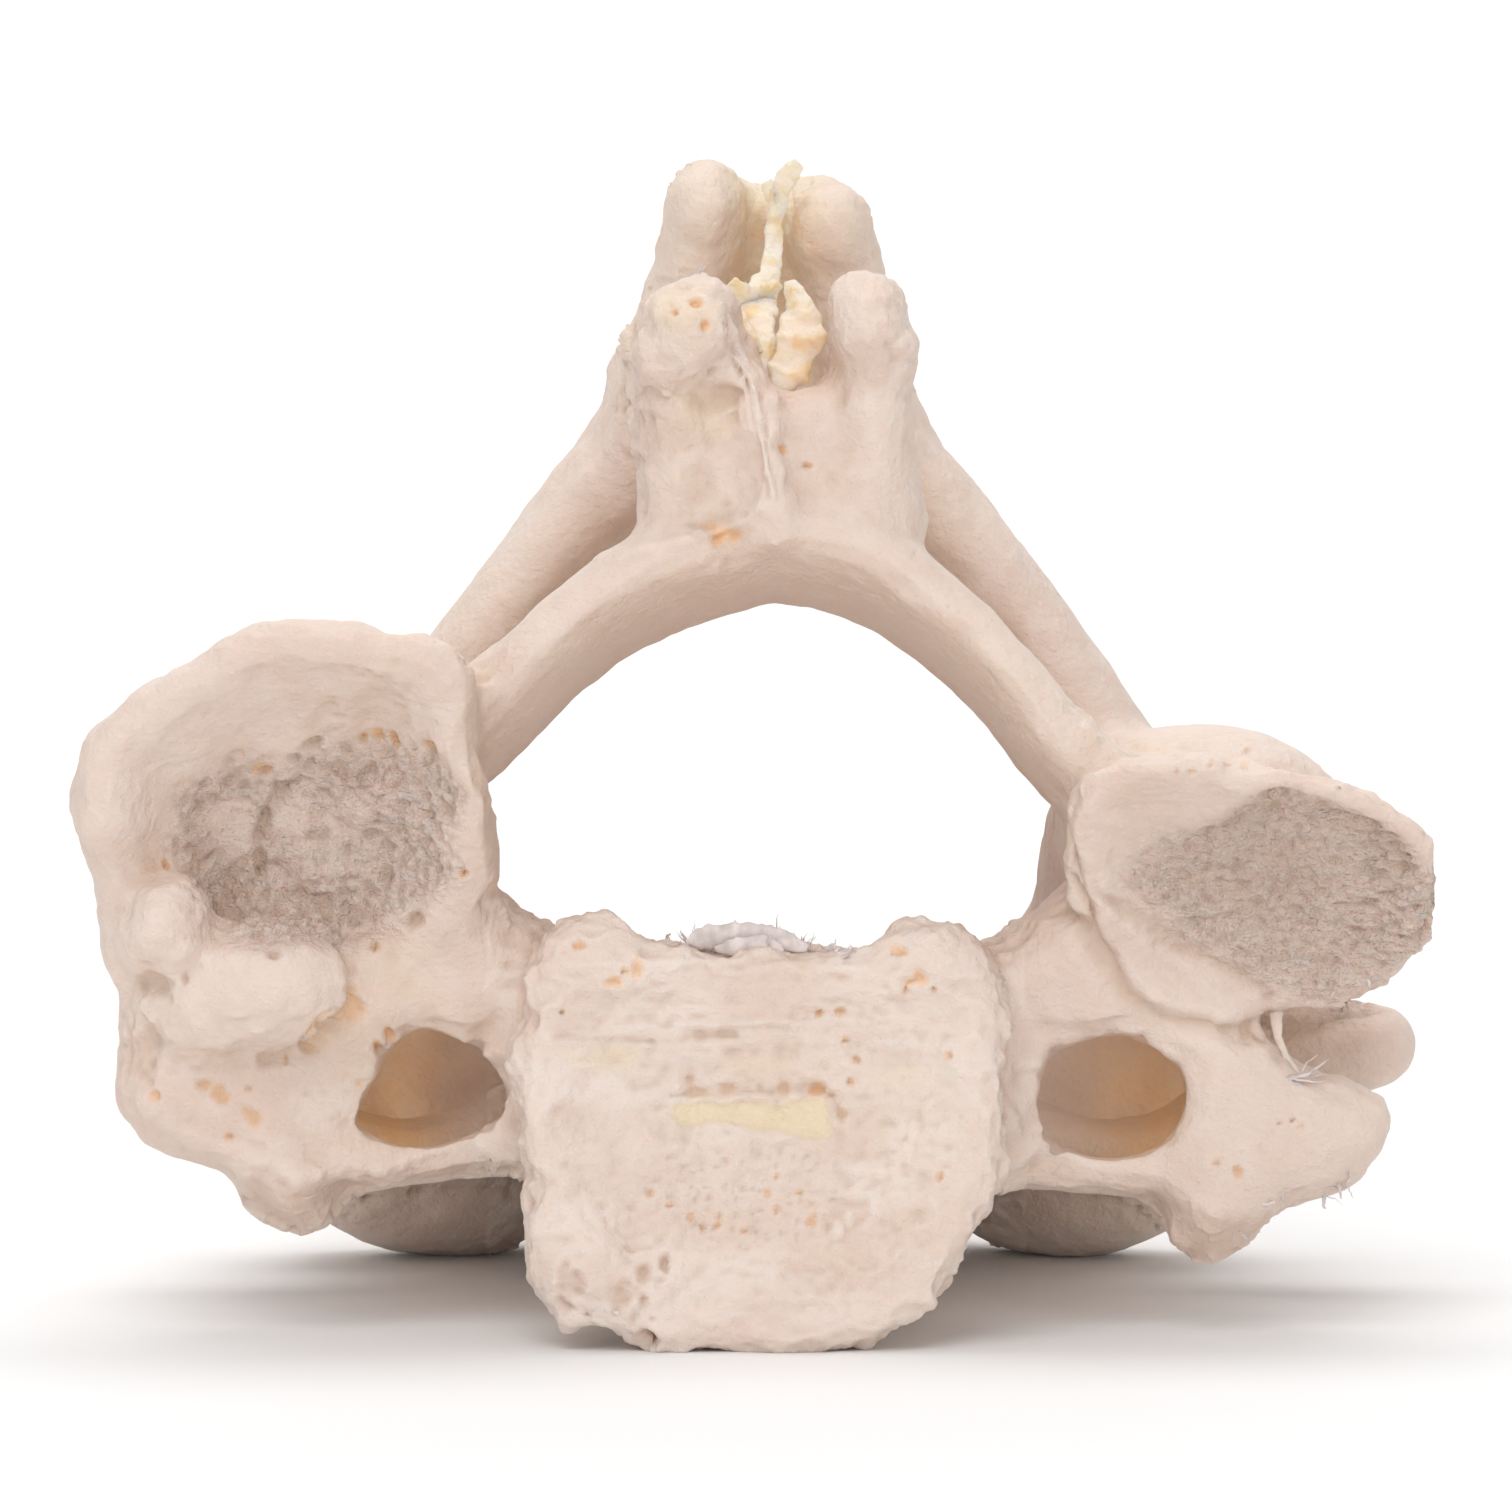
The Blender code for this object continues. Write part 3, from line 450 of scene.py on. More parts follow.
def depth_inside(u, v, loop):
    """Distance to a closed loop, positive inside it and negative outside."""
    away = np.full(len(u), 99.0)
    inside = np.zeros(len(u), dtype=bool)
    for start, end in zip(loop, np.roll(loop, -1, axis=0)):
        away = np.minimum(away, to_segment(u, v, start, end))
        straddles = (start[1] > v) != (end[1] > v)
        rise = end[1] - start[1]
        rise = rise if abs(rise) > 1e-9 else 1e-9
        crossing = start[0] + (v - start[1]) / rise * (end[0] - start[0])
        inside ^= straddles & (u < crossing)
    return np.where(inside, away, -away)


def patch(skin, corners, margin=1.0):
    """The shown points around a smooth loop, and how deep inside it each one is."""
    loop = smooth_loop(corners)
    pick = skin.around(loop.min(0) - margin, loop.max(0) + margin)
    return pick, depth_inside(skin.u[pick], skin.v[pick], loop)


def open_channel(skin, corners, front, back, reach=2.6):
    """Draws the walls of a hole through the bone to the given outline, layer by layer."""
    loop = smooth_loop(corners)
    middle = loop.mean(axis=0)
    away = np.hypot(skin.u - middle[0], skin.v - middle[1])
    level = skin.places[:, 1]
    pick = np.flatnonzero((level > front) & (level < back) & (away < 6.5))
    side = np.arctan2(skin.v[pick] - middle[1], skin.u[pick] - middle[0])
    drawn = np.arctan2(loop[:, 1] - middle[1], loop[:, 0] - middle[0])
    order = np.argsort(drawn)
    wanted = np.interp(side, drawn[order], np.hypot(*(loop - middle).T)[order], period=2 * math.pi)
    bins = 48
    sector = np.floor((side + math.pi) / (2 * math.pi) * bins).astype(int) % bins
    centres = (np.arange(bins) + 0.5) / bins * 2 * math.pi - math.pi
    layers = np.linspace(front, back, 7)
    layer = np.clip(np.searchsorted(layers, level[pick]) - 1, 0, 5)
    now = wanted.copy()
    for step in range(6):
        here = layer == step
        wall = np.full(bins, 99.0)
        np.minimum.at(wall, sector[here], away[pick][here])
        known = wall < 6.0
        if known.sum() > bins // 2:
            wall = ring_smooth(np.interp(centres, centres[known], wall[known], period=2 * math.pi), 2)
            now[here] = np.interp(side[here], centres, wall, period=2 * math.pi)
    ends = fade(level[pick], front, front + 0.6) * fade(level[pick], back, back - 0.8)
    share = fade(away[pick] - now, reach, 0.0) * ends
    move = (wanted - now) * share
    skin.places[pick, 0] += move * np.cos(side)
    skin.places[pick, 2] += move * np.sin(side)
    skin.places = spread_some(skin.places, skin.edges, pick[np.abs(move) > 0.05], 4)
    skin.write_places()


def ring_smooth(values, rounds):
    """Averages values round a ring."""
    for _ in range(rounds):
        values = 0.25 * np.roll(values, 1) + 0.5 * values + 0.25 * np.roll(values, -1)
    return values


# Work on each region, in millimetres as seen from below the neck

RIGHT_FLOOR = ((17.3, -3.3), (19.5, -2.8), (20.6, -2.2), (23.2, -1.6), (25.9, -2.3), (28.2, -3.7),
               (29.7, -5.6), (29.1, -7.9), (27.3, -10.1), (24.4, -11.0), (21.8, -10.3), (19.5, -8.8),
               (17.8, -7.9), (16.3, -6.8), (15.1, -5.3), (15.8, -4.0))
RIGHT_PLATE = ((17.3, 1.0), (19.6, 0.5), (21.1, 0.4), (23.0, -0.2), (25.0, -0.4), (26.0, -1.1),
               (26.8, -2.1), (28.4, -3.3), (29.0, -4.5), (29.0, -5.9), (28.5, -7.4), (26.8, -9.5),
               (24.8, -10.6), (22.2, -11.0), (18.8, -10.9), (17.1, -10.3), (16.0, -9.4),
               (15.3, -8.2), (14.3, -6.4), (13.8, -4.4), (13.4, -2.9), (14.1, -2.0))
LEFT_FLOOR = ((-24.6, -1.5), (-22.5, -0.3), (-20.1, -0.2), (-19.1, 0.3), (-15.6, 0.3),
              (-13.7, -0.2), (-12.2, -1.7), (-13.1, -3.5), (-12.4, -5.1), (-14.8, -7.2),
              (-18.0, -8.2), (-20.7, -8.3), (-23.8, -7.0), (-24.6, -4.9), (-25.2, -4.0))
LEFT_MOUND = ((-25.2, -8.1), (-21.6, -7.9), (-17.8, -8.1), (-17.6, -10.4), (-19.5, -12.6),
              (-22.9, -12.8), (-25.0, -10.9))
LEFT_CHANNEL = ((-14.8, -11.8), (-13.3, -11.9), (-11.4, -13.1), (-10.7, -14.3), (-11.0, -15.3),
                (-13.1, -16.5), (-14.9, -16.7), (-16.6, -16.0), (-17.0, -15.3), (-16.1, -13.6),
                (-15.6, -12.8))
LEFT_UNDERSIDE = ((-21.9, -18.1), (-18.8, -17.9), (-16.0, -17.6), (-13.8, -17.0), (-10.4, -17.3),
                  (-10.4, -18.3), (-13.9, -18.6), (-17.0, -19.5), (-18.8, -20.6), (-20.6, -21.2),
                  (-22.6, -20.0))
RIGHT_UNDERSIDE = ((10.8, -17.5), (14.5, -17.6), (17.2, -18.2), (19.0, -19.2), (21.6, -19.4),
                   (24.0, -18.5), (25.2, -18.2), (24.8, -19.4), (21.5, -21.5), (18.6, -22.2),
                   (17.4, -20.6), (15.6, -19.2), (12.0, -18.4))
RIGHT_CHANNEL_MIDDLE = (15.2, -14.6)
RIGHT_CHANNEL_REACH = (3.15, 2.6)
DISC_REMNANT = ((-3.6, -14.9), (-1.8, -14.7), (0.6, -14.7), (2.6, -14.4), (3.2, -15.0),
                (3.2, -16.3), (2.3, -16.4), (0.4, -16.1), (-1.4, -15.8), (-3.3, -15.8))
# How far up the neck the upper bone begins, and its upper joint surfaces: how far to the
# side, how high, and their half sizes
UPPER_BONE = 9.0
UPPER_JOINT = (15.8, -14.2, 7.0, 6.4)
SPONGY_PLATE = ((-4.6, -16.8), (-2.4, -16.1), (1.0, -16.5), (4.0, -16.8), (4.2, -19.0),
                (3.2, -21.1), (-0.7, -21.5), (-3.3, -20.7), (-4.6, -19.0))


def grit(places, size, seed=0):
    """Crumbs of worn bone, from about -1 to 1."""
    return 0.55 * rough(places, 1.8 * size, 3, seed) + 1.1 * (0.55 - cells(places, size, seed + 3))


def flaked(places, size, seed=0):
    """Thin raised folds with flat ground between them, from 0 to 1."""
    return fade(1 - np.abs(rough(places, size, 3, seed)) * 2.2, 0.3, 1.0)


def melt_upper_bone(skin):
    """Rounds off the upper of the two bones, so that its parts run into each other."""
    upper = np.flatnonzero(skin.places[:, 1] > UPPER_BONE)
    skin.places = spread_some(skin.places, skin.edges, upper, 70)
    skin.write_places()


def age_all_over(skin):
    """Low swells and a fine unevenness over the whole bone."""
    skin.lift += 0.16 * rough(skin.places, 5.0, 4, 11)
    skin.lift += 0.07 * rough(skin.places, 1.6, 3, 23)
    skin.lift += 0.05 * flaked(skin.places, 2.6, 29)
    skin.write()


def finish_upper_bone(skin):
    """The axis: smooth upper joint surfaces with a low rim, small holes and rough ridges."""
    x, y, z = skin.places.T
    for middle in (-UPPER_JOINT[0], UPPER_JOINT[0]):
        away = np.hypot((x - middle) / UPPER_JOINT[2], (z - UPPER_JOINT[1]) / UPPER_JOINT[3])
        away = away + 0.05 * rough(skin.places, 3.0, 3, 113)
        facing = fade(skin.normals[:, 1], 0.25, 0.6) * (y > 20.0)
        inner = fade(away, 1.0, 0.93) * facing
        rim = fade(np.abs(away - 1.0), 0.14, 0.02) * facing
        skin.lift += 0.16 * rim - 0.2 * inner
        skin.stains["chalk"] = np.maximum(skin.stains["chalk"], 0.5 * inner)
    tough = fade(y, UPPER_BONE, 14.0) * fade(z, 6.0, 14.0)
    skin.lift += 0.2 * tough * rough(skin.places, 1.5, 4, 115)
    chance = np.random.default_rng(14)
    far = np.flatnonzero(y > 8.0)
    for spot in chance.choice(far, 70, replace=False):
        size = chance.uniform(0.16, 0.42)
        near = far[np.abs(skin.places[far] - skin.places[spot]).max(axis=1) < 2 * size]
        gone = np.linalg.norm(skin.places[near] - skin.places[spot], axis=1) / size
        skin.lift[near] -= 0.28 * fade(gone, 1.1, 0.3)
        skin.stain("marrow_stain_and_glow", near, chance.uniform(0.1, 0.5) * fade(gone, 1.1, 0.4))
    skin.write()


def fray(skin, low, high, size, height, seed):
    """Ragged edges: the parts of a region that face sideways are torn in and out."""
    spots = np.flatnonzero((skin.u > low[0]) & (skin.u < high[0]) & (skin.v > low[1])
                           & (skin.v < high[1]) & (skin.places[:, 1] < 9.0))
    u, v = skin.u[spots], skin.v[spots]
    inside = np.minimum(np.minimum(u - low[0], high[0] - u), np.minimum(v - low[1], high[1] - v))
    edge = fade(1 - np.abs(skin.normals[spots, 1]), 0.15, 0.7) * fade(inside, 0.0, 1.6)
    edge = edge * fade(skin.places[spots, 1], 9.0, 3.0)
    skin.lift[spots] += height * edge * rough(skin.places[spots], size, 4, seed)


def ledge(skin, corners, height, drop, top, seed):
    """A plate with a ragged edge that stands out from the bone beside and below it."""
    pick, deep = patch(skin, corners, 2.0)
    deep = deep + 0.35 * rough(skin.places[pick], 1.6, 4, seed)
    front = skin.shown[pick] * fade(-skin.normals[pick, 1], 0.1, 0.5)
    front = front * fade(skin.v[pick], top, top - 2.5)
    skin.lift[pick] += front * height * fade(deep, -0.05, 0.2) * fade(deep, 2.2, 0.5)
    skin.lift[pick] -= front * drop * fade(deep, 0.0, -0.3) * fade(deep, -1.7, -0.5)
    # Painted shade on the band just outside the plate's edge, beneath its overhang.
    skin.stain("painted_shade_and_stain", pick, 0.4 * front * fade(deep, 0.05, -0.3) * fade(deep, -1.3, -0.4))


def wear_right_joint(skin):
    """The lower joint surface on the right: a gritty oval floor inside a ragged raised rim."""
    ledge(skin, RIGHT_PLATE, 0.16, 0.45, -1.0, 33)
    pick, deep = patch(skin, RIGHT_FLOOR, 1.8)
    u, v = skin.u[pick], skin.v[pick]
    places = skin.places[pick]
    deep = deep + 0.7 * rough(places, 2.2, 4, 35)
    top_side = fade(v + 0.12 * (u - 22), -6.5, -3.0)
    floor = fade(deep, -0.7, 1.5 - 0.7 * top_side) * skin.shown[pick]
    skin.lift[pick] -= floor * (0.12 + 0.42 * top_side)
    rays = fade(u, 23.0, 27.0)
    crumbs = grit(places, 0.42, 31)
    streaks = grit(places * (0.25, 1.0, 1.0), 0.3, 37)
    skin.lift[pick] += floor * (0.3 * crumbs * (1 - rays) + 0.42 * streaks * rays)
    skin.lift[pick] += floor * 0.16 * rough(places, 2.4, 3, 41)
    skin.lift[pick] += floor * 0.12 * flaked(places, 1.3, 39)
    skin.stain("worn", pick, floor * (0.85 + 0.25 * crumbs))
    # A flat share of the browner tone over the floor is its own browner colour; the rest is painted shade
    # in the hollow under the upper rim and along the crease of the lower edge.
    hollow = fade(np.hypot((u - 21.9) / 4.2, (v + 5.3) / 2.2), 1.2, 0.2)
    shaded = np.maximum(hollow, top_side * fade(deep, 2.2, 0.6))
    skin.stain("painted_shade_and_stain", pick, floor * (0.26 + 0.26 * shaded))
    stroke(skin, ((14.7, -5.9), (16.3, -6.8), (17.8, -7.9), (19.5, -8.8), (20.8, -9.4),
                  (21.9, -10.2)), 0.5, 0.22, 0.3, "painted_shade_and_stain", 0.8)
    spots = skin.around((13.2, -11.2), (22.0, -2.0))
    strip = skin.shown[spots] * fade(depth_inside(skin.u[spots], skin.v[spots],
                                                  smooth_loop(RIGHT_PLATE)), 0.0, 0.3)
    skin.lift[spots] += 0.14 * strip * rough(skin.places[spots], 0.9, 4, 43)
    skin.stain("blush", spots, 0.6 * strip * fade(rough(skin.places[spots], 1.4, 3, 45), -0.1, 0.5))
    for u0, v0 in ((18.0, -0.7), (18.6, -0.7), (19.5, -0.35), (20.2, -0.3), (20.9, -0.4), (21.0, 0.2),
                   (24.6, -0.8)):
        press(skin, u0, v0, 0.2, 0.14, 0.25)
    fray(skin, (11.5, -13.0), (32.0, 3.2), 1.6, 0.5, 47)
    skin.write()


def wear_left_joint(skin):
    """The diseased joint on the left: a wide crumbling floor, islands, pits and a smooth mound."""
    pick, deep = patch(skin, LEFT_FLOOR, 2.0)
    u, v = skin.u[pick], skin.v[pick]
    places = skin.places[pick]
    deep = deep + 0.8 * rough(places, 2.0, 4, 51)
    floor = fade(deep, -0.7, 1.4) * skin.shown[pick]
    skin.lift[pick] -= (0.3 + 0.35 * fade(v, -4.0, -0.5)) * floor
    calm = np.zeros(len(pick))
    for u0, v0, wide, high in ((-22.4, -3.2, 1.1, 1.5), (-19.9, -2.6, 1.0, 0.9),
                               (-17.6, -2.8, 1.1, 0.9)):
        calm = np.maximum(calm, fade(np.hypot((u - u0) / wide, (v - v0) / high), 1.2, 0.5))
    crumbs = grit(places, 0.46, 53)
    skin.lift[pick] += floor * (0.32 * crumbs * (1 - 0.85 * calm) + 0.16 * calm)
    skin.lift[pick] += floor * 0.26 * rough(places, 2.6, 3, 59)
    skin.lift[pick] += floor * 0.16 * flaked(places, 1.1, 57) * (1 - calm)
    skin.stain("worn", pick, floor * (0.85 - 0.3 * calm + 0.15 * crumbs))
    # Painted shade in the hollow under the upper rim, and in the pits, hollows and crease below it.
    skin.stain("painted_shade_and_stain", pick, 0.25 * floor * fade(deep, 2.0, 0.4) * fade(v, -2.6, -0.6))
    skin.stain("painted_shade_and_stain", pick, 0.2 * fade(deep, -1.1, 0.0) * fade(v, -2.0, -0.6)
               * skin.shown[pick])
    press(skin, -16.4, 1.1, 2.3, 0.35, 0.3, 0.2, "painted_shade_and_stain")
    press(skin, -18.6, 1.2, 1.2, 0.2, 0.2, 0.2, "painted_shade_and_stain")
    stroke(skin, ((-19.9, -1.5), (-20.9, -2.5), (-21.3, -3.6), (-21.4, -5.3)), 0.5, 0.3, 0.5, "painted_shade_and_stain")
    press(skin, -25.6, -6.5, 1.7, -0.36, 0.5, 0.1, "chalk", 0.45)
    pits(skin, ((-21.0, -0.9, 0.34), (-14.1, 0.4, 0.34), (-15.6, 0.4, 0.26), (-16.3, 0.5, 0.26),
                (-16.9, 0.5, 0.22), (-25.2, -4.6, 0.2), (-12.2, 4.1, 0.18), (-12.5, -5.1, 0.2),
                (-16.3, -8.2, 0.2), (-21.4, -5.1, 0.22)), 0.35, 0.6, ragged=0.9)
    # Painted shade in these wide pits.
    pits(skin, ((-19.0, 0.3, 0.55), (-19.7, -0.3, 0.4), (-14.6, -7.0, 0.5), (-20.6, -8.6, 0.3)),
         0.3, 0.5, 0.2, "painted_shade_and_stain")
    pick, deep = patch(skin, LEFT_MOUND)
    deep = deep + 0.3 * skin.wobble[pick]
    skin.lift[pick] += 0.34 * fade(deep, -0.2, 0.9) * skin.shown[pick]
    skin.lift[pick] += 0.1 * fade(deep, 0.0, 0.9) * skin.shown[pick] * rough(skin.places[pick], 1.7, 3, 60)
    skin.stain("chalk", pick, 0.45 * fade(deep, -0.3, 0.8) * skin.shown[pick])
    # Painted shade along the crease under the mound.
    stroke(skin, ((-17.8, -8.0), (-17.2, -9.2), (-17.5, -10.6), (-19.3, -12.7), (-21.0, -13.1)), 0.5,
           0.2, 0.3, "painted_shade_and_stain")
    fray(skin, (-32.5, -14.0), (-9.5, 8.0), 3.0, 0.55, 61)
    skin.write()


def scar_end_plate(skin):
    """The lower end of the third body: fibrous above, a strip of disc, spongy bone below."""
    spots = skin.around((-11.5, -26.5), (11.5, -6.0))
    u, v = skin.u[spots], skin.v[spots]
    shown = skin.shown[spots]
    places = skin.places[spots]
    centre = fade(np.hypot(u / 9.5, (v + 16.2) / 9.0), 1.02, 0.85)
    skin.lift[spots] += shown * 0.2 * (1 - centre) * rough(places, 2.4, 4, 71)
    skin.lift[spots] += shown * centre * (0.2 * rough(places, 2.6, 4, 72) + 0.11 * grit(places, 0.5, 75))
    skin.lift[spots] += shown * 0.14 * flaked(places * (0.6, 1.0, 1.0), 1.4, 76)
    band = fade(v, -14.6, -13.0) * fade(v, -7.8, -9.5) * fade(np.abs(u), 9.4, 7.8)
    fibres = rough(places * (0.13, 0.5, 1.0), 0.4, 3, 79)
    skin.lift[spots] += shown * band * 0.06 * fibres
    # Painted shade in the grooves between the fibres.
    skin.stain("painted_shade_and_stain", spots, shown * band * 0.12 * fade(fibres, 0.1, -0.4))
    skin.stain("chalk", spots, shown * fade(rough(places * (0.5, 1.0, 1.0), 2.0, 4, 77), -0.3, 0.4))
    skin.stain("blush", spots, shown * 0.4 * fade(rough(places * (0.5, 1.0, 1.0), 2.6, 4, 78), 0.05, 0.5))
    for u0, v0, wide, high, share in ((-6.3, -12.9, 2.2, 0.7, 0.5), (6.3, -13.7, 1.6, 0.6, 0.35),
                                      (0.0, -13.2, 1.8, 0.5, 0.3), (-2.6, -15.2, 1.6, 0.9, 0.3)):
        near = fade(np.hypot((u - u0) / wide, (v - v0) / high) + 0.4 * skin.wobble[spots], 1.2, 0.3)
        skin.stain("yellow", spots, shown * share * near)
    stroke(skin, ((-3.4, -11.5), (-1.3, -11.5), (0.4, -11.3), (2.4, -11.5)), 0.22, -0.14, 0.6, "chalk")
    # Painted shade along this fine crease.
    stroke(skin, ((-8.6, -12.0), (-4.0, -12.2), (-1.0, -12.0)), 0.2, 0.1, 0.2, "painted_shade_and_stain", 0.9)
    crust = fade(np.abs(np.hypot(u - 0.5, v + 14.5) - 6.3), 1.3, 0.2) * fade(u, 2.0, 4.0)
    crust = crust * fade(v, -13.5, -15.5) * fade(grit(places * (1.0, 1.0, 0.6), 0.6, 74), -0.1, 0.3)
    skin.lift[spots] += 0.15 * shown * crust
    skin.stain("chalk", spots, shown * crust)
    pick, deep = patch(skin, DISC_REMNANT)
    inner = fade(deep + 0.22 * skin.wobble[pick], 0.0, 0.2) * skin.shown[pick]
    skin.lift[pick] -= 0.16 * inner
    skin.lift[pick] += 0.05 * inner * rough(skin.places[pick], 0.8, 3, 81)
    skin.stain("yellow", pick, inner)
    # Painted shade along the crease at the disc strip's edge.
    stroke(skin, ((-3.6, -14.5), (-1.9, -14.35), (-0.6, -14.3), (0.6, -14.4), (2.4, -14.1),
                  (3.3, -14.6), (3.7, -15.6)), 0.24, 0.16, 0.25, "painted_shade_and_stain", 1.2)
    pits(skin, ((-2.6, -14.3, 0.3), (-1.2, -14.2, 0.25), (0.2, -14.2, 0.25), (1.2, -14.2, 0.3),
                (2.7, -14.1, 0.34), (3.2, -14.5, 0.25), (3.8, -15.3, 0.3)), 0.18, 0.14, ragged=1.1)
    pick, deep = patch(skin, SPONGY_PLATE)
    inner = fade(deep + 0.5 * skin.wobble[pick], 0.0, 0.8) * skin.shown[pick]
    sponge = fade(cells(skin.places[pick] * (1, 0.4, 1), 0.42, 83), 0.36, 0.16)
    skin.lift[pick] -= inner * (0.1 * sponge - 0.1 * rough(skin.places[pick], 0.8, 3, 89))
    skin.stain("blush", pick, inner * (0.5 + 0.3 * sponge))
    # Painted shade in the cells of the spongy bone.
    skin.stain("painted_shade_and_stain", pick, 0.16 * inner * sponge)
    pits(skin, ((-4.5, -18.7, 0.26), (-3.7, -19.2, 0.22), (-2.8, -19.7, 0.2), (-2.3, -20.1, 0.16),
                (-1.6, -19.7, 0.18), (0.5, -18.7, 0.2), (0.9, -18.0, 0.22), (0.9, -19.4, 0.2),
                (1.9, -18.7, 0.2), (2.3, -19.9, 0.18), (-1.7, -20.1, 0.2), (-0.5, -20.3, 0.18)),
         0.22, 0.4, ragged=0.8)
    pits(skin, ((-5.0, -9.1, 0.5), (-6.0, -9.7, 0.42), (-5.6, -9.2, 0.3), (-7.6, -8.1, 0.3),
                (6.1, -8.3, 0.36), (7.0, -9.5, 0.4), (7.6, -10.0, 0.22), (6.4, -10.0, 0.22),
                (6.6, -9.7, 0.3), (3.6, -10.9, 0.2), (2.7, -11.0, 0.16), (3.8, -12.1, 0.16),
                (4.0, -13.9, 0.24), (2.7, -14.2, 0.26), (7.9, -18.0, 0.22), (8.3, -12.8, 0.2),
                (-8.3, -10.9, 0.16), (4.3, -13.0, 0.16)), 0.28, 0.5, ragged=1.0)
    # Pits darkened with the painted shade tone, and one deep pit below.
    pits(skin, ((-7.7, -22.6, 0.75), (-5.7, -23.1, 0.85), (-4.8, -22.0, 0.6)),
         0.3, 0.4, 0.0, "painted_shade_and_stain", 1.6)
    press(skin, -4.6, -25.0, 0.5, 1.0, 0.9, 0.4, "painted_shade_and_stain")
    fray(skin, (-13.0, -28.0), (13.0, -5.0), 1.6, 0.85, 91)
    skin.write()


def groove_spines(skin):
    """The forked spines: pitted tips, a thin keel, and hollows where the two sides meet."""
    spots = skin.around((-6.5, 8.0), (8.0, 26.5))
    v = skin.v[spots]
    knobs = fade(v, 15.0, 19.5)
    skin.lift[spots] += (skin.shown[spots] * (0.12 + 0.2 * knobs) * fade(v, 8.0, 11.0)
                         * rough(skin.places[spots], 2.0, 4, 97))
    stroke(skin, ((-0.9, 18.6), (-0.6, 17.4), (0.0, 15.6), (0.2, 13.5), (0.7, 11.2)), 0.8, 0.26)
    stroke(skin, ((-0.9, 18.6), (-0.6, 17.4), (0.0, 15.6), (0.2, 13.5), (0.7, 11.2)), 0.34, -0.22,
           0.35, "chalk", 1.0)
    pits(skin, ((-1.4, 18.2, 0.3), (-0.8, 16.9, 0.26), (-0.2, 15.7, 0.24), (0.1, 14.4, 0.24)),
         -0.16, 0.5, 0.3, "chalk")
    # Painted shade in two small creases beside the keel.
    for path in (((-0.9, 16.9), (-0.7, 16.3)), ((-0.4, 16.1), (-0.3, 15.6))):
        stroke(skin, path, 0.13, 0.2, 0.9, "painted_shade_and_stain")
    for u0, v0, size, depth in ((-4.9, 17.1, 1.1, 0.4), (-4.2, 19.2, 0.8, 0.25), (-1.9, 19.4, 0.9, 0.22),
                                (6.2, 17.6, 0.8, 0.35), (-5.0, 13.2, 0.7, 0.3)):
        press(skin, u0, v0, size, -depth, crisp=0.15, ragged=0.8)
    # Painted shade in the groove under the left fork's head.
    stroke(skin, ((-5.3, 15.5), (-3.5, 15.5), (-1.6, 15.3)), 0.95, 0.5, 0.4, "painted_shade_and_stain", 0.7)
    press(skin, -2.2, 14.6, 1.2, 0.18, 0.3, 0.1, "yellow")
    # Painted shade in these shallow hollows.
    for u0, v0, size, share in ((4.6, 16.6, 1.9, 0.4), (-3.6, 14.2, 1.9, 0.35), (3.7, 13.4, 1.5, 0.2),
                                (-2.5, 11.2, 1.4, 0.25)):
        press(skin, u0, v0, size, 0.12, share, 0.0, "painted_shade_and_stain", 0.8)
    press(skin, -3.3, 19.0, 1.2, -0.12, 0.3, 0.2, "yellow")
    pits(skin, ((-2.6, 19.3, 0.3), (-2.2, 18.4, 0.26), (-3.4, 18.9, 0.2), (1.2, 13.1, 0.28),
                (2.2, 12.4, 0.2)), 0.3, 0.7)
    # Painted shade in the hollow tucked under the fork's lower edge.
    press(skin, -1.3, 9.3, 1.5, 0.3, 0.5, 0.0, "painted_shade_and_stain", 0.8)
    pits(skin, ((-1.6, 9.3, 0.5), (-0.9, 9.4, 0.35)), 0.35, 0.6, 0.0, "marrow_stain_and_glow", 0.9)
    stroke(skin, ((0.7, 10.9), (-0.3, 10.4), (-2.4, 9.4), (-6.7, 8.5)), 0.4, -0.1, 0.2, "chalk")
    cleft = np.flatnonzero((skin.u > -2.6) & (skin.u < 4.2) & (skin.v > 16.0) & (skin.v < 27.5)
                           & (skin.places[:, 1] > 5.0))
    near = fade(np.abs(skin.u[cleft] - 0.7), 3.0, 0.8) * fade(skin.places[cleft, 1], 19.0, 14.0)
    patches = fade(rough(skin.places[cleft], 1.2, 3, 99), -0.5, 0.4)
    skin.stain("yellow", cleft, near * (0.6 + 0.4 * patches))
    skin.stain("marrow_stain_and_glow", cleft, 0.4 * near * fade(rough(skin.places[cleft], 1.0, 3, 98), -0.1, 0.5))
    behind = np.flatnonzero((np.abs(skin.u) < 8.0) & (skin.v > 12.0) & (skin.places[:, 1] > 6.0))
    greasy = fade(skin.v[behind], 12.0, 20.0) * fade(np.abs(skin.u[behind]), 8.0, 5.0)
    skin.stain("yellow", behind, 0.22 * greasy)
    fray(skin, (-9.0, 9.0), (10.0, 29.0), 1.8, 0.5, 96)
    skin.write()


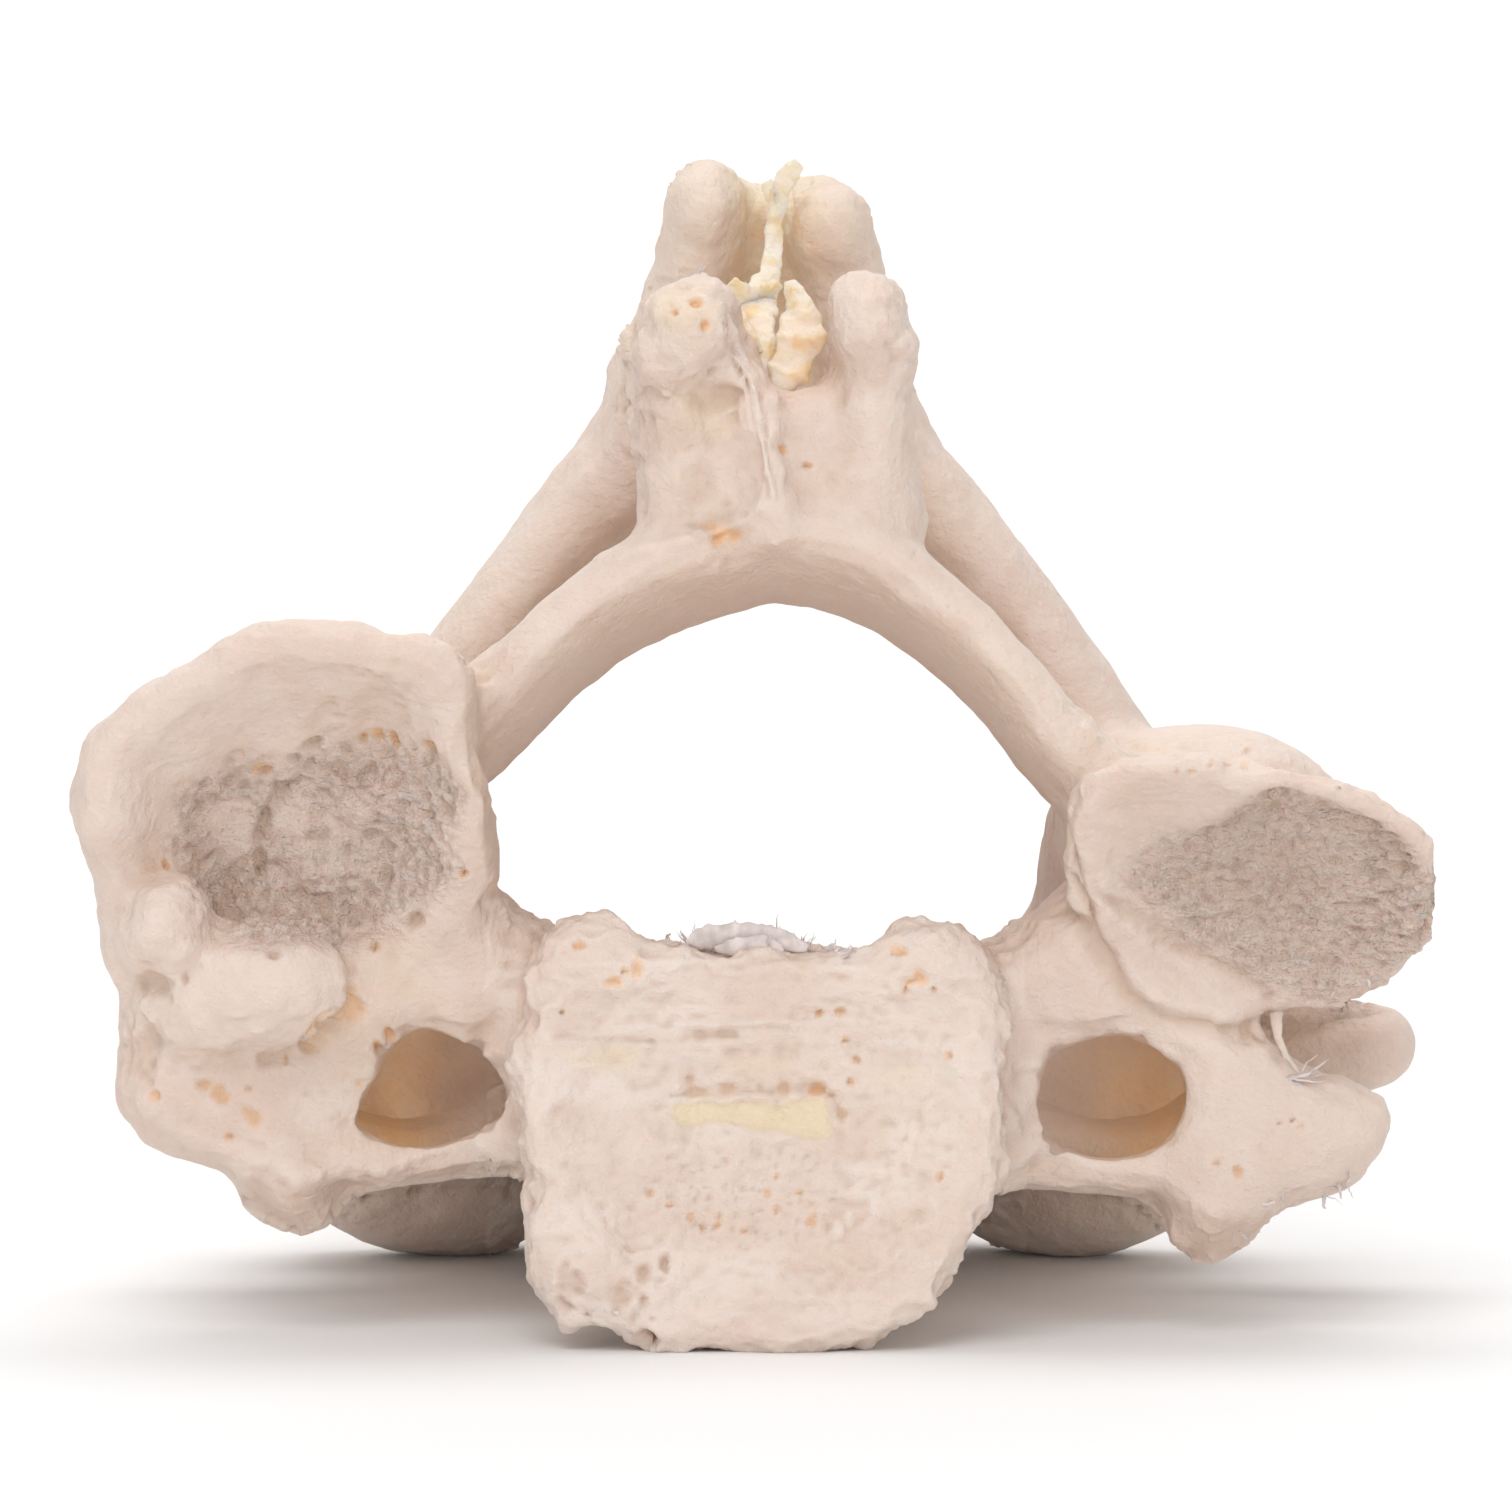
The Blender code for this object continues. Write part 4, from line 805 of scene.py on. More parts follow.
def roughen_side_processes(skin):
    """The side processes: pits, a stained channel, spongy patches and ragged edges."""
    for low, high, size in (((-28.5, -21.5), (-9.0, -12.5), 0.14),
                            ((17.5, -22.5), (29.0, -12.5), 0.08)):
        spots = skin.around(low, high)
        skin.lift[spots] += skin.shown[spots] * size * rough(skin.places[spots], 1.6, 4, 101)
    fray(skin, (-31.0, -24.0), (-9.5, -9.0), 2.2, 0.5, 105)
    fray(skin, (14.5, -24.5), (31.5, -10.0), 1.8, 0.45, 107)
    stroke(skin, ((-17.3, -10.0), (-17.1, -10.7), (-18.5, -11.4), (-19.2, -12.4)), 0.42, 0.45, 0.5)
    press(skin, -16.0, -11.5, 0.36, 0.5, 0.7)
    press(skin, -16.8, -12.0, 0.4, 0.5, 0.7)
    pits(skin, ((-25.7, -14.5, 0.22), (-23.6, -14.1, 0.26), (-23.0, -14.4, 0.28),
                (-22.8, -14.7, 0.24), (-21.7, -14.2, 0.2), (-21.5, -15.5, 0.4), (-22.5, -16.3, 0.2),
                (-17.8, -13.9, 0.22), (-20.1, -13.0, 0.2), (19.7, -17.4, 0.18), (20.6, -17.8, 0.14),
                (22.4, -15.7, 0.16), (22.9, -15.6, 0.14), (23.3, -15.8, 0.16)), 0.25, 0.42, ragged=0.9)
    # Painted shade in two shallow hollows on the left edge.
    press(skin, -26.1, -12.4, 1.0, 0.3, 0.3, 0.1, "painted_shade_and_stain", 0.9)
    press(skin, -25.9, -9.7, 0.9, 0.3, 0.3, 0.1, "painted_shade_and_stain", 0.9)
    # The undersides are pressed in to face down and get painted shade.
    for corners, slope in ((LEFT_UNDERSIDE, 0.5), (RIGHT_UNDERSIDE, 0.3)):
        pick, deep = patch(skin, corners)
        inner = fade(deep + 0.4 * skin.wobble[pick], -0.2, 0.9) * skin.shown[pick]
        skin.lift[pick] -= slope * inner
        skin.stain("painted_shade_and_stain", pick, 0.5 * inner)
    stroke(skin, ((-26.3, -14.9), (-23.5, -16.6), (-20.0, -17.6), (-16.5, -18.2), (-12.5, -17.6)), 0.6,
           -0.14, 0.2, "chalk", 0.8)
    spots = skin.around((-20.6, -16.6), (-16.2, -13.6))
    sponge = fade(cells(skin.places[spots], 0.5, 103), 0.4, 0.2)
    inner = fade(np.hypot((skin.u[spots] + 18.4) / 2.2, (skin.v[spots] + 15.0) / 1.5), 1.0, 0.5)
    skin.lift[spots] += inner * skin.shown[spots] * (0.24 * rough(skin.places[spots], 0.9, 3, 104)
                                                     - 0.1 * sponge)
    skin.stain("chalk", spots, 0.6 * inner * (1 - sponge) * skin.shown[spots])
    skin.write()


def open_channels(skin):
    """The two holes for the arteries, with orange walls that are partly stain and partly painted light
    coming through the thin bone.
    """
    angles = np.linspace(0, 2 * math.pi, 14, endpoint=False)
    right = np.stack([RIGHT_CHANNEL_MIDDLE[0] + RIGHT_CHANNEL_REACH[0] * np.cos(angles),
                      RIGHT_CHANNEL_MIDDLE[1] + RIGHT_CHANNEL_REACH[1] * np.sin(angles)], axis=1)
    for outline in (right, LEFT_CHANNEL):
        open_channel(skin, outline, 0.5, 11.0)
    for outline in (right, LEFT_CHANNEL):
        loop = smooth_loop(outline)
        near = np.flatnonzero(
            (skin.u > loop[:, 0].min() - 1) & (skin.u < loop[:, 0].max() + 1)
            & (skin.v > loop[:, 1].min() - 1) & (skin.v < loop[:, 1].max() + 1))
        deep = depth_inside(skin.u[near], skin.v[near], loop)
        behind = fade(skin.places[near, 1], 3.0, 8.0) * fade(skin.places[near, 1], 35.0, 31.0)
        outward = fade(np.abs(skin.u[near]) - np.abs(loop[:, 0].mean()), -2.6, 1.6)
        patches = fade(rough(skin.places[near], 2.0, 3, 109), -0.6, 0.5)
        # Partly painted light: the orange on the walls also stands for light through the thin bone.
        skin.stain("marrow_stain_and_glow", near, fade(deep, -0.6, 0.1) * behind * (0.2 + 0.8 * outward)
                   * (0.75 + 0.25 * patches))


def mark_bends(skin):
    """Stores how sharply the surface bends: ridges above 0.5, hollows below."""
    smoothed = spread(skin.places, skin.edges, 10)
    bend = ((skin.places - smoothed) * skin.normals).sum(axis=1)
    skin.stains["bend"] = 0.5 + np.clip(spread(bend, skin.edges, 2) / 0.16, -0.5, 0.5)


def mark_painted_shade(skin):
    """Paints shade in a browner tone: where much bone crowds around, on surfaces that face down, on the
    canal's lining and in the right side's notch.
    """
    margin = 8.0
    low = skin.places.min(axis=0) - margin
    size = np.ceil(skin.places.max(axis=0) + margin - low).astype(int) + 1
    crowd = np.zeros(size)
    np.add.at(crowd, tuple((skin.places - low).astype(int).T), 1.0)
    for axis in range(3):
        for _ in range(3):
            crowd = sum(np.roll(crowd, step, axis=axis) for step in (-2, -1, 0, 1, 2)) / 5
    spots = np.round(skin.places + 2.6 * skin.normals - low - 0.5).astype(int)
    around = crowd[tuple(spots.T)]
    around = spread(around / np.median(around), skin.edges, 12)
    below = fade(-skin.normals[:, 2], 0.2, 0.9)
    shade_amount = np.maximum(0.38 * fade(around, 1.1, 2.2) * fade(skin.places[:, 1], 11.0, 7.0), 0.1 * below)
    shade_amount = shade_amount * (1 - fade(skin.v, -16.5, -18.0) * fade(skin.places[:, 1], 8.0, 12.0))
    across = skin.u - 0.3
    up = skin.v + 0.5
    inward = -(skin.normals[:, 0] * across + skin.normals[:, 2] * up) / np.hypot(across, up)
    lining = fade(inward, -0.05, 0.75) * fade(np.hypot(across, up), 15.0, 12.0)
    shade_amount = np.maximum(shade_amount, 0.58 * lining * fade(skin.v, -7.0, -5.0))
    notch = fade(skin.places[:, 1], 9.0, 13.0) * fade(skin.places[:, 1], 23.0, 17.0)
    notch = notch * fade(skin.v, -9.0, -10.5)
    shade_amount = np.maximum(shade_amount, 0.9 * notch * fade(skin.u, 28.5, 21.0) * fade(skin.u, 17.0, 19.0))
    skin.stains["painted_shade_and_stain"] = np.maximum(skin.stains["painted_shade_and_stain"], shade_amount)


# Loose pieces, as seen from below
# Straps of bone: four places from top to bottom, and a half width
STRAPS = (((22.2, -10.9), (22.3, -12.0), (22.7, -13.0), (23.3, -14.1), 0.15),
          ((20.6, -11.0), (20.9, -11.8), (21.6, -12.4), (22.6, -12.9), 0.13))
# Tufts of fibres: the two ends of a row of roots, a heading, a length and how many
TUFTS = (((-3.2, -7.9), (2.2, -7.9), (0.15, 1.0), 1.3, 70),
         ((-2.8, -7.9), (1.8, -7.9), (-0.6, 0.8), 1.1, 26),
         ((0.5, -7.9), (0.9, -7.9), (0.0, 1.0), 1.7, 6),
         ((2.3, -8.1), (2.8, -8.1), (-0.25, 1.0), 1.0, 6),
         ((2.9, -8.3), (4.2, -8.3), (0.4, 0.9), 0.6, 14),
         ((-4.1, -7.8), (-3.6, -7.8), (0.2, 1.0), 0.6, 5),
         ((24.2, -18.6), (25.4, -17.9), (0.5, -0.8), 1.0, 9),
         ((22.0, -19.6), (23.0, -19.2), (0.9, -0.4), 0.9, 7),
         ((19.6, -20.6), (22.0, -20.1), (0.7, -0.5), 0.5, 9),
         ((-3.2, 25.2), (-2.0, 25.5), (0.5, 0.8), 0.5, 5),
         ((22.9, -13.7), (23.2, -13.9), (1.0, 0.05), 2.0, 6),
         ((-0.9, 17.6), (-0.5, 16.6), (0.7, -0.6), 0.4, 7),
         ((-9.5, -22.5), (-4.5, -24.5), (-0.4, -0.9), 0.4, 10),
         ((24.0, -10.4), (26.5, -9.5), (0.4, -0.9), 0.35, 9))
# Ribbons of dried tissue: place, depth behind the bone's lower end, and half width at each point
STRIP_RIBBONS = (((1.95, 25.3, 9.2, 0.3), (1.3, 24.7, 9.5, 0.6), (1.05, 23.8, 9.5, 0.4),
                  (0.75, 22.6, 9.2, 0.38), (0.7, 21.5, 8.4, 0.4), (0.55, 20.6, 7.2, 0.5),
                  (0.2, 19.7, 6.0, 0.75), (0.1, 18.8, 4.8, 0.8), (0.35, 17.9, 4.0, 0.65),
                  (0.3, 17.0, 3.2, 0.5), (0.25, 16.2, 2.6, 0.35)),
                 ((-1.1, 20.3, 5.2, 0.3), (-0.4, 19.7, 5.4, 0.5), (0.4, 19.7, 5.8, 0.45),
                  (1.0, 20.3, 6.2, 0.25)),
                 ((-0.7, 19.0, 4.2, 0.25), (-0.4, 18.2, 3.8, 0.4), (0.0, 17.2, 3.2, 0.35)),
                 ((0.4, 24.6, 9.6, 0.2), (0.7, 23.9, 9.7, 0.35), (0.9, 22.9, 9.6, 0.3)))
FLAP_RIBBONS = (((1.5, 20.3, 4.2, 0.25), (1.9, 19.1, 3.5, 0.7), (1.95, 17.8, 3.1, 1.0),
                 (1.5, 16.5, 2.8, 0.95), (1.0, 15.4, 2.5, 0.4)),)
SCAB_RIBBONS = (((-3.0, -8.0, 1.0, 0.1), (-2.4, -7.85, 1.2, 0.45), (-1.5, -7.7, 1.4, 0.6),
                 (-0.5, -7.65, 1.4, 0.68), (0.4, -7.75, 1.3, 0.55), (1.2, -7.9, 1.3, 0.45),
                 (2.2, -8.2, 1.0, 0.15)),
                ((-1.8, -8.3, 0.9, 0.1), (-0.9, -8.15, 0.9, 0.4), (0.2, -8.1, 0.9, 0.45),
                 (1.2, -8.3, 0.9, 0.12)),
                ((2.7, -8.6, 1.2, 0.1), (3.3, -8.3, 1.3, 0.35), (3.9, -8.4, 1.2, 0.1)))


def on_skin(tree, u, v, level=2.5, deepest=7.0):
    """The third vertebra's surface on the line of sight, or else the nearest place to it."""
    eye = BONE_TO_ROW @ Vector((0.0, -EYE_REACH * MM, 0.0))
    aim = BONE_TO_ROW @ Vector((u * MM, 0.0, v * MM)) - eye
    hit = tree.ray_cast(eye, aim)[0]
    if hit is None or (BONE_TO_ROW.inverted() @ hit).y > deepest * MM:
        hit = tree.find_nearest(eye + aim * (1 + level / EYE_REACH))[0]
    return hit


def tube(path, sizes, sides, flat=1.0):
    """Points and faces of a closed tube along a path; flat squeezes it towards a ribbon."""
    points = []
    faces = []
    for step, (place, size) in enumerate(zip(path, sizes)):
        ahead = path[min(step + 1, len(path) - 1)] - path[max(step - 1, 0)]
        across = ahead.cross(BONE_TO_ROW.to_3x3() @ Vector((0.0, 1.0, 0.0))).normalized()
        through = across.cross(ahead).normalized()
        for side in range(sides):
            angle = 2 * math.pi * side / sides
            points.append(place + size * (math.cos(angle) * across + flat * math.sin(angle) * through))
    for step in range(len(path) - 1):
        for side in range(sides):
            a = step * sides + side
            b = step * sides + (side + 1) % sides
            faces.append((a, b, b + sides, a + sides))
    faces.append(tuple(reversed(range(sides))))
    faces.append(tuple(range(len(points) - sides, len(points))))
    return points, faces


def gather(name, tubes):
    """One object from many tubes."""
    points = []
    faces = []
    for tube_points, tube_faces in tubes:
        start = len(points)
        points.extend(tube_points)
        faces.extend(tuple(start + k for k in face) for face in tube_faces)
    data = bpy.data.meshes.new(name)
    data.from_pydata(points, [], faces)
    data.shade_smooth()
    return add_object(name, data)


def fibre(root, heading, length, radius, chance):
    """A thin bent fibre that starts inside the bone and thins towards its end."""
    steps = 9
    place = root - 0.25 * MM * heading
    path = [place.copy()]
    for _ in range(steps):
        bend = Vector([chance.gauss(0.0, 0.3) for _ in range(3)])
        heading = (heading + bend).normalized()
        place = place + heading * length * MM / steps
        path.append(place.copy())
    sizes = [radius * MM * (1 - 0.8 * (step / steps) ** 1.5) for step in range(steps + 1)]
    return tube(path, sizes, 5, chance.choice((0.25, 0.4, 1.0)))


def add_fibres(tree, settings):
    """The torn fibres and flakes that are left where ligaments were."""
    chance = random.Random(12)
    turn = BONE_TO_ROW.to_3x3()
    tubes = []
    for start, end, heading, length, count in TUFTS:
        for _ in range(count):
            share = chance.random()
            u = start[0] + share * (end[0] - start[0]) + chance.gauss(0.0, 0.06)
            v = start[1] + share * (end[1] - start[1]) - abs(chance.gauss(0.0, 0.08))
            way = turn @ Vector((heading[0] + chance.gauss(0.0, 0.35), chance.gauss(0.0, 0.3),
                                 heading[1] + chance.gauss(0.0, 0.25))).normalized()
            reach = length * chance.uniform(0.5, 1.15) + 0.25
            size = settings.thickness * chance.uniform(0.5, 1.0) ** 2 * chance.choice((1.0, 1.5, 3.0))
            tubes.append(fibre(on_skin(tree, u, v), way, reach, size, chance))
    return gather("dried_fibres", tubes)


def add_straps(tree):
    """Two thin straps of bone that cross the notch beside the right side process."""
    tubes = []
    for top, upper, lower, bottom, width in STRAPS:
        ends = [on_skin(tree, *top), on_skin(tree, *bottom)]
        path = []
        sizes = []
        for step in range(25):
            share = step / 24
            place = ends[0].lerp(ends[1], share)
            bow = math.sin(math.pi * share)
            drawn = [top, upper, lower, bottom]
            spot = share * 3
            first = min(int(spot), 2)
            u = drawn[first][0] + (spot - first) * (drawn[first + 1][0] - drawn[first][0])
            v = drawn[first][1] + (spot - first) * (drawn[first + 1][1] - drawn[first][1])
            depth = (BONE_TO_ROW.inverted() @ place).y / MM + 0.3 * bow + 0.5
            reach = 1 + depth / EYE_REACH
            path.append(BONE_TO_ROW @ (Vector((u * reach, depth, v * reach)) * MM))
            sizes.append(width * MM * (1.9 - 0.9 * bow))
        tubes.append(tube(path, sizes, 16, 0.55))
    piece = gather("bone_straps", tubes)
    rounds = piece.modifiers.new("rounds", "SUBSURF")
    rounds.levels = 1
    rounds.render_levels = 1
    apply_modifiers(piece)
    points = read_points(piece.data)
    push = 0.09 * rough(points / MM, 0.8, 3, 121)
    write_points(piece.data, points + read_normals(piece.data) * push[:, None] * MM)
    strap = Skin(piece)
    strap.stains["chalk"] += 0.7
    strap.stains["bend"] = np.full(len(points), 0.55)
    write_stains(strap)
    return piece


def ribbon(corners, chance):
    """A flat tube with a ragged width along places seen from below."""
    knots = np.array(corners)
    steps = 14 * (len(knots) - 1) + 1
    spots = np.linspace(0, len(knots) - 1, steps)
    u, v, depth, width = (np.interp(spots, np.arange(len(knots)), column) for column in knots.T)
    width = width * (1 + 0.16 * np.array([chance.gauss(0.0, 1.0) for _ in range(steps)]))
    path = []
    for column in (u, v, depth, width) * 3:
        column[1:-1] = 0.25 * column[:-2] + 0.5 * column[1:-1] + 0.25 * column[2:]
    for across, up, behind in zip(u, v, depth):
        reach = 1 + behind / EYE_REACH
        path.append(BONE_TO_ROW @ (Vector((across * reach, behind, up * reach)) * MM))
    return tube(path, (np.abs(width) * MM).tolist(), 24, 0.3)


def crumpled(name, ribbons, settings, seed):
    """A scrap of dried tissue: thin ribbons, folded and torn."""
    chance = random.Random(seed)
    piece = gather(name, [ribbon(corners, chance) for corners in ribbons])
    finer = piece.modifiers.new("finer", "SUBSURF")
    finer.levels = 1
    finer.render_levels = 1
    apply_modifiers(piece)
    points = read_points(piece.data) / MM
    folds = np.stack([rough(points, 2.0, 3, seed + axis) for axis in range(3)], axis=1)
    tears = np.stack([rough(points, 0.7, 3, seed + 5 + axis) for axis in range(3)], axis=1)
    points = points + settings.crumple * (folds * (0.9, 1.9, 0.9) + 0.5 * tears)
    write_points(piece.data, points * MM)
    skin = Skin(piece)
    mark_bends(skin)
    write_stains(skin)
    return piece


# Materials


def nodes_of(name):
    """A new material, its node tree and its Principled shader."""
    material = bpy.data.materials.new(name)
    material.use_nodes = True
    return material, material.node_tree, material.node_tree.nodes["Principled BSDF"]


def places_node(tree):
    """The object's own coordinates, in metres."""
    return tree.nodes.new("ShaderNodeTexCoord").outputs["Object"]


def mottle(tree, places, size, detail=3.0, roughness=0.5):
    """Cloudy noise with patches about size across, in metres."""
    node = tree.nodes.new("ShaderNodeTexNoise")
    node.inputs["Scale"].default_value = 1 / size
    node.inputs["Detail"].default_value = detail
    node.inputs["Roughness"].default_value = roughness
    tree.links.new(places, node.inputs["Vector"])
    return node.outputs["Fac"]


def between(tree, value, low, high, least=0.0, most=1.0):
    """The value's share of the way from low to high, mapped to least and most."""
    node = tree.nodes.new("ShaderNodeMapRange")
    node.inputs["From Min"].default_value = low
    node.inputs["From Max"].default_value = high
    node.inputs["To Min"].default_value = least
    node.inputs["To Max"].default_value = most
    tree.links.new(value, node.inputs["Value"])
    return node.outputs["Result"]


def product(tree, first, second):
    """Two values multiplied."""
    node = tree.nodes.new("ShaderNodeMath")
    node.operation = "MULTIPLY"
    tree.links.new(first, node.inputs[0])
    tree.links.new(second, node.inputs[1])
    return node.outputs["Value"]


def stain_node(tree, name):
    """A stain that the sculpting left on the mesh."""
    node = tree.nodes.new("ShaderNodeAttribute")
    node.attribute_name = name
    return node.outputs["Fac"]


def blend(tree, share, first, second):
    """Two colours mixed; each is a socket or a colour of three numbers."""
    node = tree.nodes.new("ShaderNodeMix")
    node.data_type = "RGBA"
    tree.links.new(share, node.inputs["Factor"])
    for socket, colour in zip((node.inputs[6], node.inputs[7]), (first, second)):
        if isinstance(colour, bpy.types.NodeSocket):
            tree.links.new(colour, socket)
        else:
            socket.default_value = (*colour, 1.0)
    return node.outputs[2]


def bone_material(settings):
    """Dry bone: ivory with a pink blush, chalky edges, stained pits, worn joints, and painted shade in
    hollows, creases and between crumbs.
    """
    material, tree, shader = nodes_of("dry_bone")
    places = places_node(tree)
    cloud = mottle(tree, places, 0.007, 2.0)
    patchy = mottle(tree, places, 0.0016, 4.0)
    crumbs = mottle(tree, places, 0.00042, 4.0, 0.7)
    specks = mottle(tree, places, 0.0003, 3.0)
    bend = stain_node(tree, "bend")
    worn = stain_node(tree, "worn")
    warmth = mottle(tree, places, 0.011, 3.0)
    colour = blend(tree, between(tree, cloud, 0.35, 0.68), settings.ivory, settings.blush)
    colour = blend(tree, between(tree, warmth, 0.52, 0.75, 0.0, 0.3), colour, settings.disc)
    colour = blend(tree, between(tree, patchy, 0.45, 0.75, 0.0, 0.5), colour, settings.chalk)
    colour = blend(tree, between(tree, bend, 0.56, 0.95, 0.0, 0.4), colour, settings.chalk)
    colour = blend(tree, between(tree, stain_node(tree, "chalk"), 0.0, 1.0, 0.0, 0.85), colour,
                   settings.chalk)
    colour = blend(tree, between(tree, worn, 0.0, 1.0, 0.0, 0.85), colour, settings.worn)
    stretched = tree.nodes.new("ShaderNodeVectorMath")
    stretched.operation = "MULTIPLY"
    stretched.inputs[1].default_value = (0.4, 1.0, 1.0)
    tree.links.new(places, stretched.inputs[0])
    streaks = mottle(tree, stretched.outputs["Vector"], 0.0005, 4.0, 0.65)
    flecks = product(tree, worn, between(tree, streaks, 0.52, 0.6, 0.0, 0.95))
    colour = blend(tree, flecks, colour, settings.chalk)
    # Painted shade between the crumbs of the worn floors.
    crumb_gap_shade = product(tree, worn, between(tree, crumbs, 0.45, 0.31, 0.0, 0.45))
    colour = blend(tree, crumb_gap_shade, colour, settings.shadow)
    # Painted shade stored by the sculpting, then painted shade in concave bends.
    colour = blend(tree, between(tree, stain_node(tree, "painted_shade_and_stain"), 0.0, 1.0, 0.0, 0.8), colour,
                   settings.shadow)
    colour = blend(tree, between(tree, bend, 0.46, 0.1, 0.0, 0.5), colour, settings.shadow)
    colour = blend(tree, between(tree, stain_node(tree, "blush"), 0.0, 1.0, 0.0, 0.8), colour,
                   settings.blush)
    colour = blend(tree, stain_node(tree, "yellow"), colour, settings.disc)
    marrow_stain_and_glow = product(tree, stain_node(tree, "marrow_stain_and_glow"), between(tree, patchy, 0.25, 0.5, 0.7, 1.0))
    colour = blend(tree, marrow_stain_and_glow, colour, settings.marrow_stain_and_glow)
    tree.links.new(colour, shader.inputs["Base Color"])
    tree.links.new(between(tree, patchy, 0.3, 0.7, 0.5, 0.66), shader.inputs["Roughness"])
    shader.inputs["IOR"].default_value = 1.45
    shader.inputs["Subsurface Weight"].default_value = 0.25
    shader.inputs["Subsurface Radius"].default_value = (1.0, 0.5, 0.3)
    shader.inputs["Subsurface Scale"].default_value = 0.0007
    relief = product(tree, crumbs, between(tree, worn, 0.0, 1.0, 0.2, 0.9))
    ridges = product(tree, streaks, between(tree, worn, 0.0, 1.0, 0.08, 0.7))
    tree.links.new(bump(tree, relief, 0.0006, bump(tree, ridges, 0.0006, bump(tree, specks, 0.00008))),
                   shader.inputs["Normal"])
    return material


def bump(tree, height, distance, below=None):
    """A bump from a height, over an earlier bump where one is given."""
    node = tree.nodes.new("ShaderNodeBump")
    node.inputs["Distance"].default_value = distance
    tree.links.new(height, node.inputs["Height"])
    if below is not None:
        tree.links.new(below, node.inputs["Normal"])
    return node.outputs["Normal"]


def ligament_material(settings):
    """Dried ligament: cream and translucent, with painted warm shade in its folds and pale on its edges.
    """
    material, tree, shader = nodes_of("dried_ligament")
    places = places_node(tree)
    patchy = mottle(tree, places, 0.0009, 4.0)
    fine = mottle(tree, places, 0.0003, 3.0)
    bend = stain_node(tree, "bend")
    colour = blend(tree, between(tree, patchy, 0.5, 0.66), settings.cream, settings.amber_and_fold_shade)
    # Painted shade: the deeper tone goes into the concave folds.
    colour = blend(tree, between(tree, bend, 0.48, 0.1), colour, settings.amber_and_fold_shade)
    colour = blend(tree, between(tree, bend, 0.52, 0.9), colour, settings.ridge)
    tree.links.new(colour, shader.inputs["Base Color"])
    tree.links.new(between(tree, fine, 0.3, 0.7, 0.36, 0.55), shader.inputs["Roughness"])
    shader.inputs["Subsurface Weight"].default_value = 0.5
    shader.inputs["Subsurface Radius"].default_value = (1.0, 0.6, 0.3)
    shader.inputs["Subsurface Scale"].default_value = 0.0015
    tree.links.new(bump(tree, patchy, 0.00025, bump(tree, fine, 0.00008)), shader.inputs["Normal"])
    return material


def fibre_material(settings):
    """Torn fibres: pale and slightly glossy, with darker stretches."""
    material, tree, shader = nodes_of("dried_fibre")
    places = places_node(tree)
    patchy = mottle(tree, places, 0.0006, 2.0)
    colour = blend(tree, between(tree, patchy, 0.35, 0.7), settings.fibre,
                   tuple(0.72 * part for part in settings.fibre))
    tree.links.new(colour, shader.inputs["Base Color"])
    tree.links.new(between(tree, patchy, 0.3, 0.7, 0.4, 0.6), shader.inputs["Roughness"])
    tree.links.new(bump(tree, patchy, 0.00004), shader.inputs["Normal"])
    return material


def write_stains(skin):
    """Stores the stains and painted shade on the mesh for the material."""
    for name, values in skin.stains.items():
        layer = skin.piece.data.attributes.new(name, "FLOAT", "POINT")
        layer.data.foreach_set("value", np.clip(values, 0.0, 1.0).astype(np.float32))


class VERTEBRAE_OT_bone(bpy.types.Operator):
    """Grow one skin over the bone solids and work its surface"""

    bl_idname = "vertebrae.bone"
    bl_label = "Bone"

    def execute(self, context):
        settings = context.scene.vertebrae.bone
        piece = skin_over(BONE_NODES, "bone_skin", settings.grain, settings.bridge)
        skin = Skin(piece)
        for work in (melt_upper_bone, age_all_over, finish_upper_bone, wear_right_joint,
                     wear_left_joint, scar_end_plate, groove_spines, roughen_side_processes,
                     open_channels, mark_bends, mark_painted_shade):
            work(skin)
        write_stains(skin)
        finish_piece(piece, bone_material(settings), BONE_NODES)
        return {"FINISHED"}


def bone_skin_tree():
    """The finished bone skin, for finding places on it."""
    piece = bpy.data.objects.get("bone_skin")
    if piece is None:
        raise RuntimeError("The bone comes first")
    return BVHTree.FromObject(piece, bpy.context.evaluated_depsgraph_get())


def finish_piece(piece, material, nodes=()):
    """Keeps a piece above the floor, gives it its material and ties it to the body."""
    points = read_points(piece.data)
    points[:, 2] = np.maximum(points[:, 2], 0.0)
    write_points(piece.data, points)
    piece.data.materials.clear()
    piece.data.materials.append(material)
    piece.data.shade_smooth()
    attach(piece, "root")
    if nodes:
        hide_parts(*nodes)


class VERTEBRAE_OT_straps(bpy.types.Operator):
    """Add the thin straps of bone beside the right side process"""

    bl_idname = "vertebrae.straps"
    bl_label = "Straps of bone"

    def execute(self, context):
        finish_piece(add_straps(bone_skin_tree()), bpy.data.materials["dry_bone"])
        return {"FINISHED"}


class VERTEBRAE_OT_ligament(bpy.types.Operator):
    """Crumple the two scraps of ligament between the spines"""

    bl_idname = "vertebrae.ligament"
    bl_label = "Dried ligament"

    def execute(self, context):
        settings = context.scene.vertebrae.scraps
        material = ligament_material(settings)
        for node, ribbons, seed in zip(SCRAP_NODES, (STRIP_RIBBONS, FLAP_RIBBONS), (131, 151)):
            piece = crumpled(node + "_skin", ribbons, settings, seed)
            finish_piece(piece, material, (node,))
        return {"FINISHED"}


class VERTEBRAE_OT_fibres(bpy.types.Operator):
    """Root the torn fibres on the bone"""

    bl_idname = "vertebrae.fibres"
    bl_label = "Loose fibres"

    def execute(self, context):
        settings = context.scene.vertebrae.scraps
        material = fibre_material(settings)
        scab = crumpled("dried_scab", SCAB_RIBBONS, settings, 171)
        finish_piece(scab, material)
        finish_piece(add_fibres(bone_skin_tree(), settings), material)
        return {"FINISHED"}


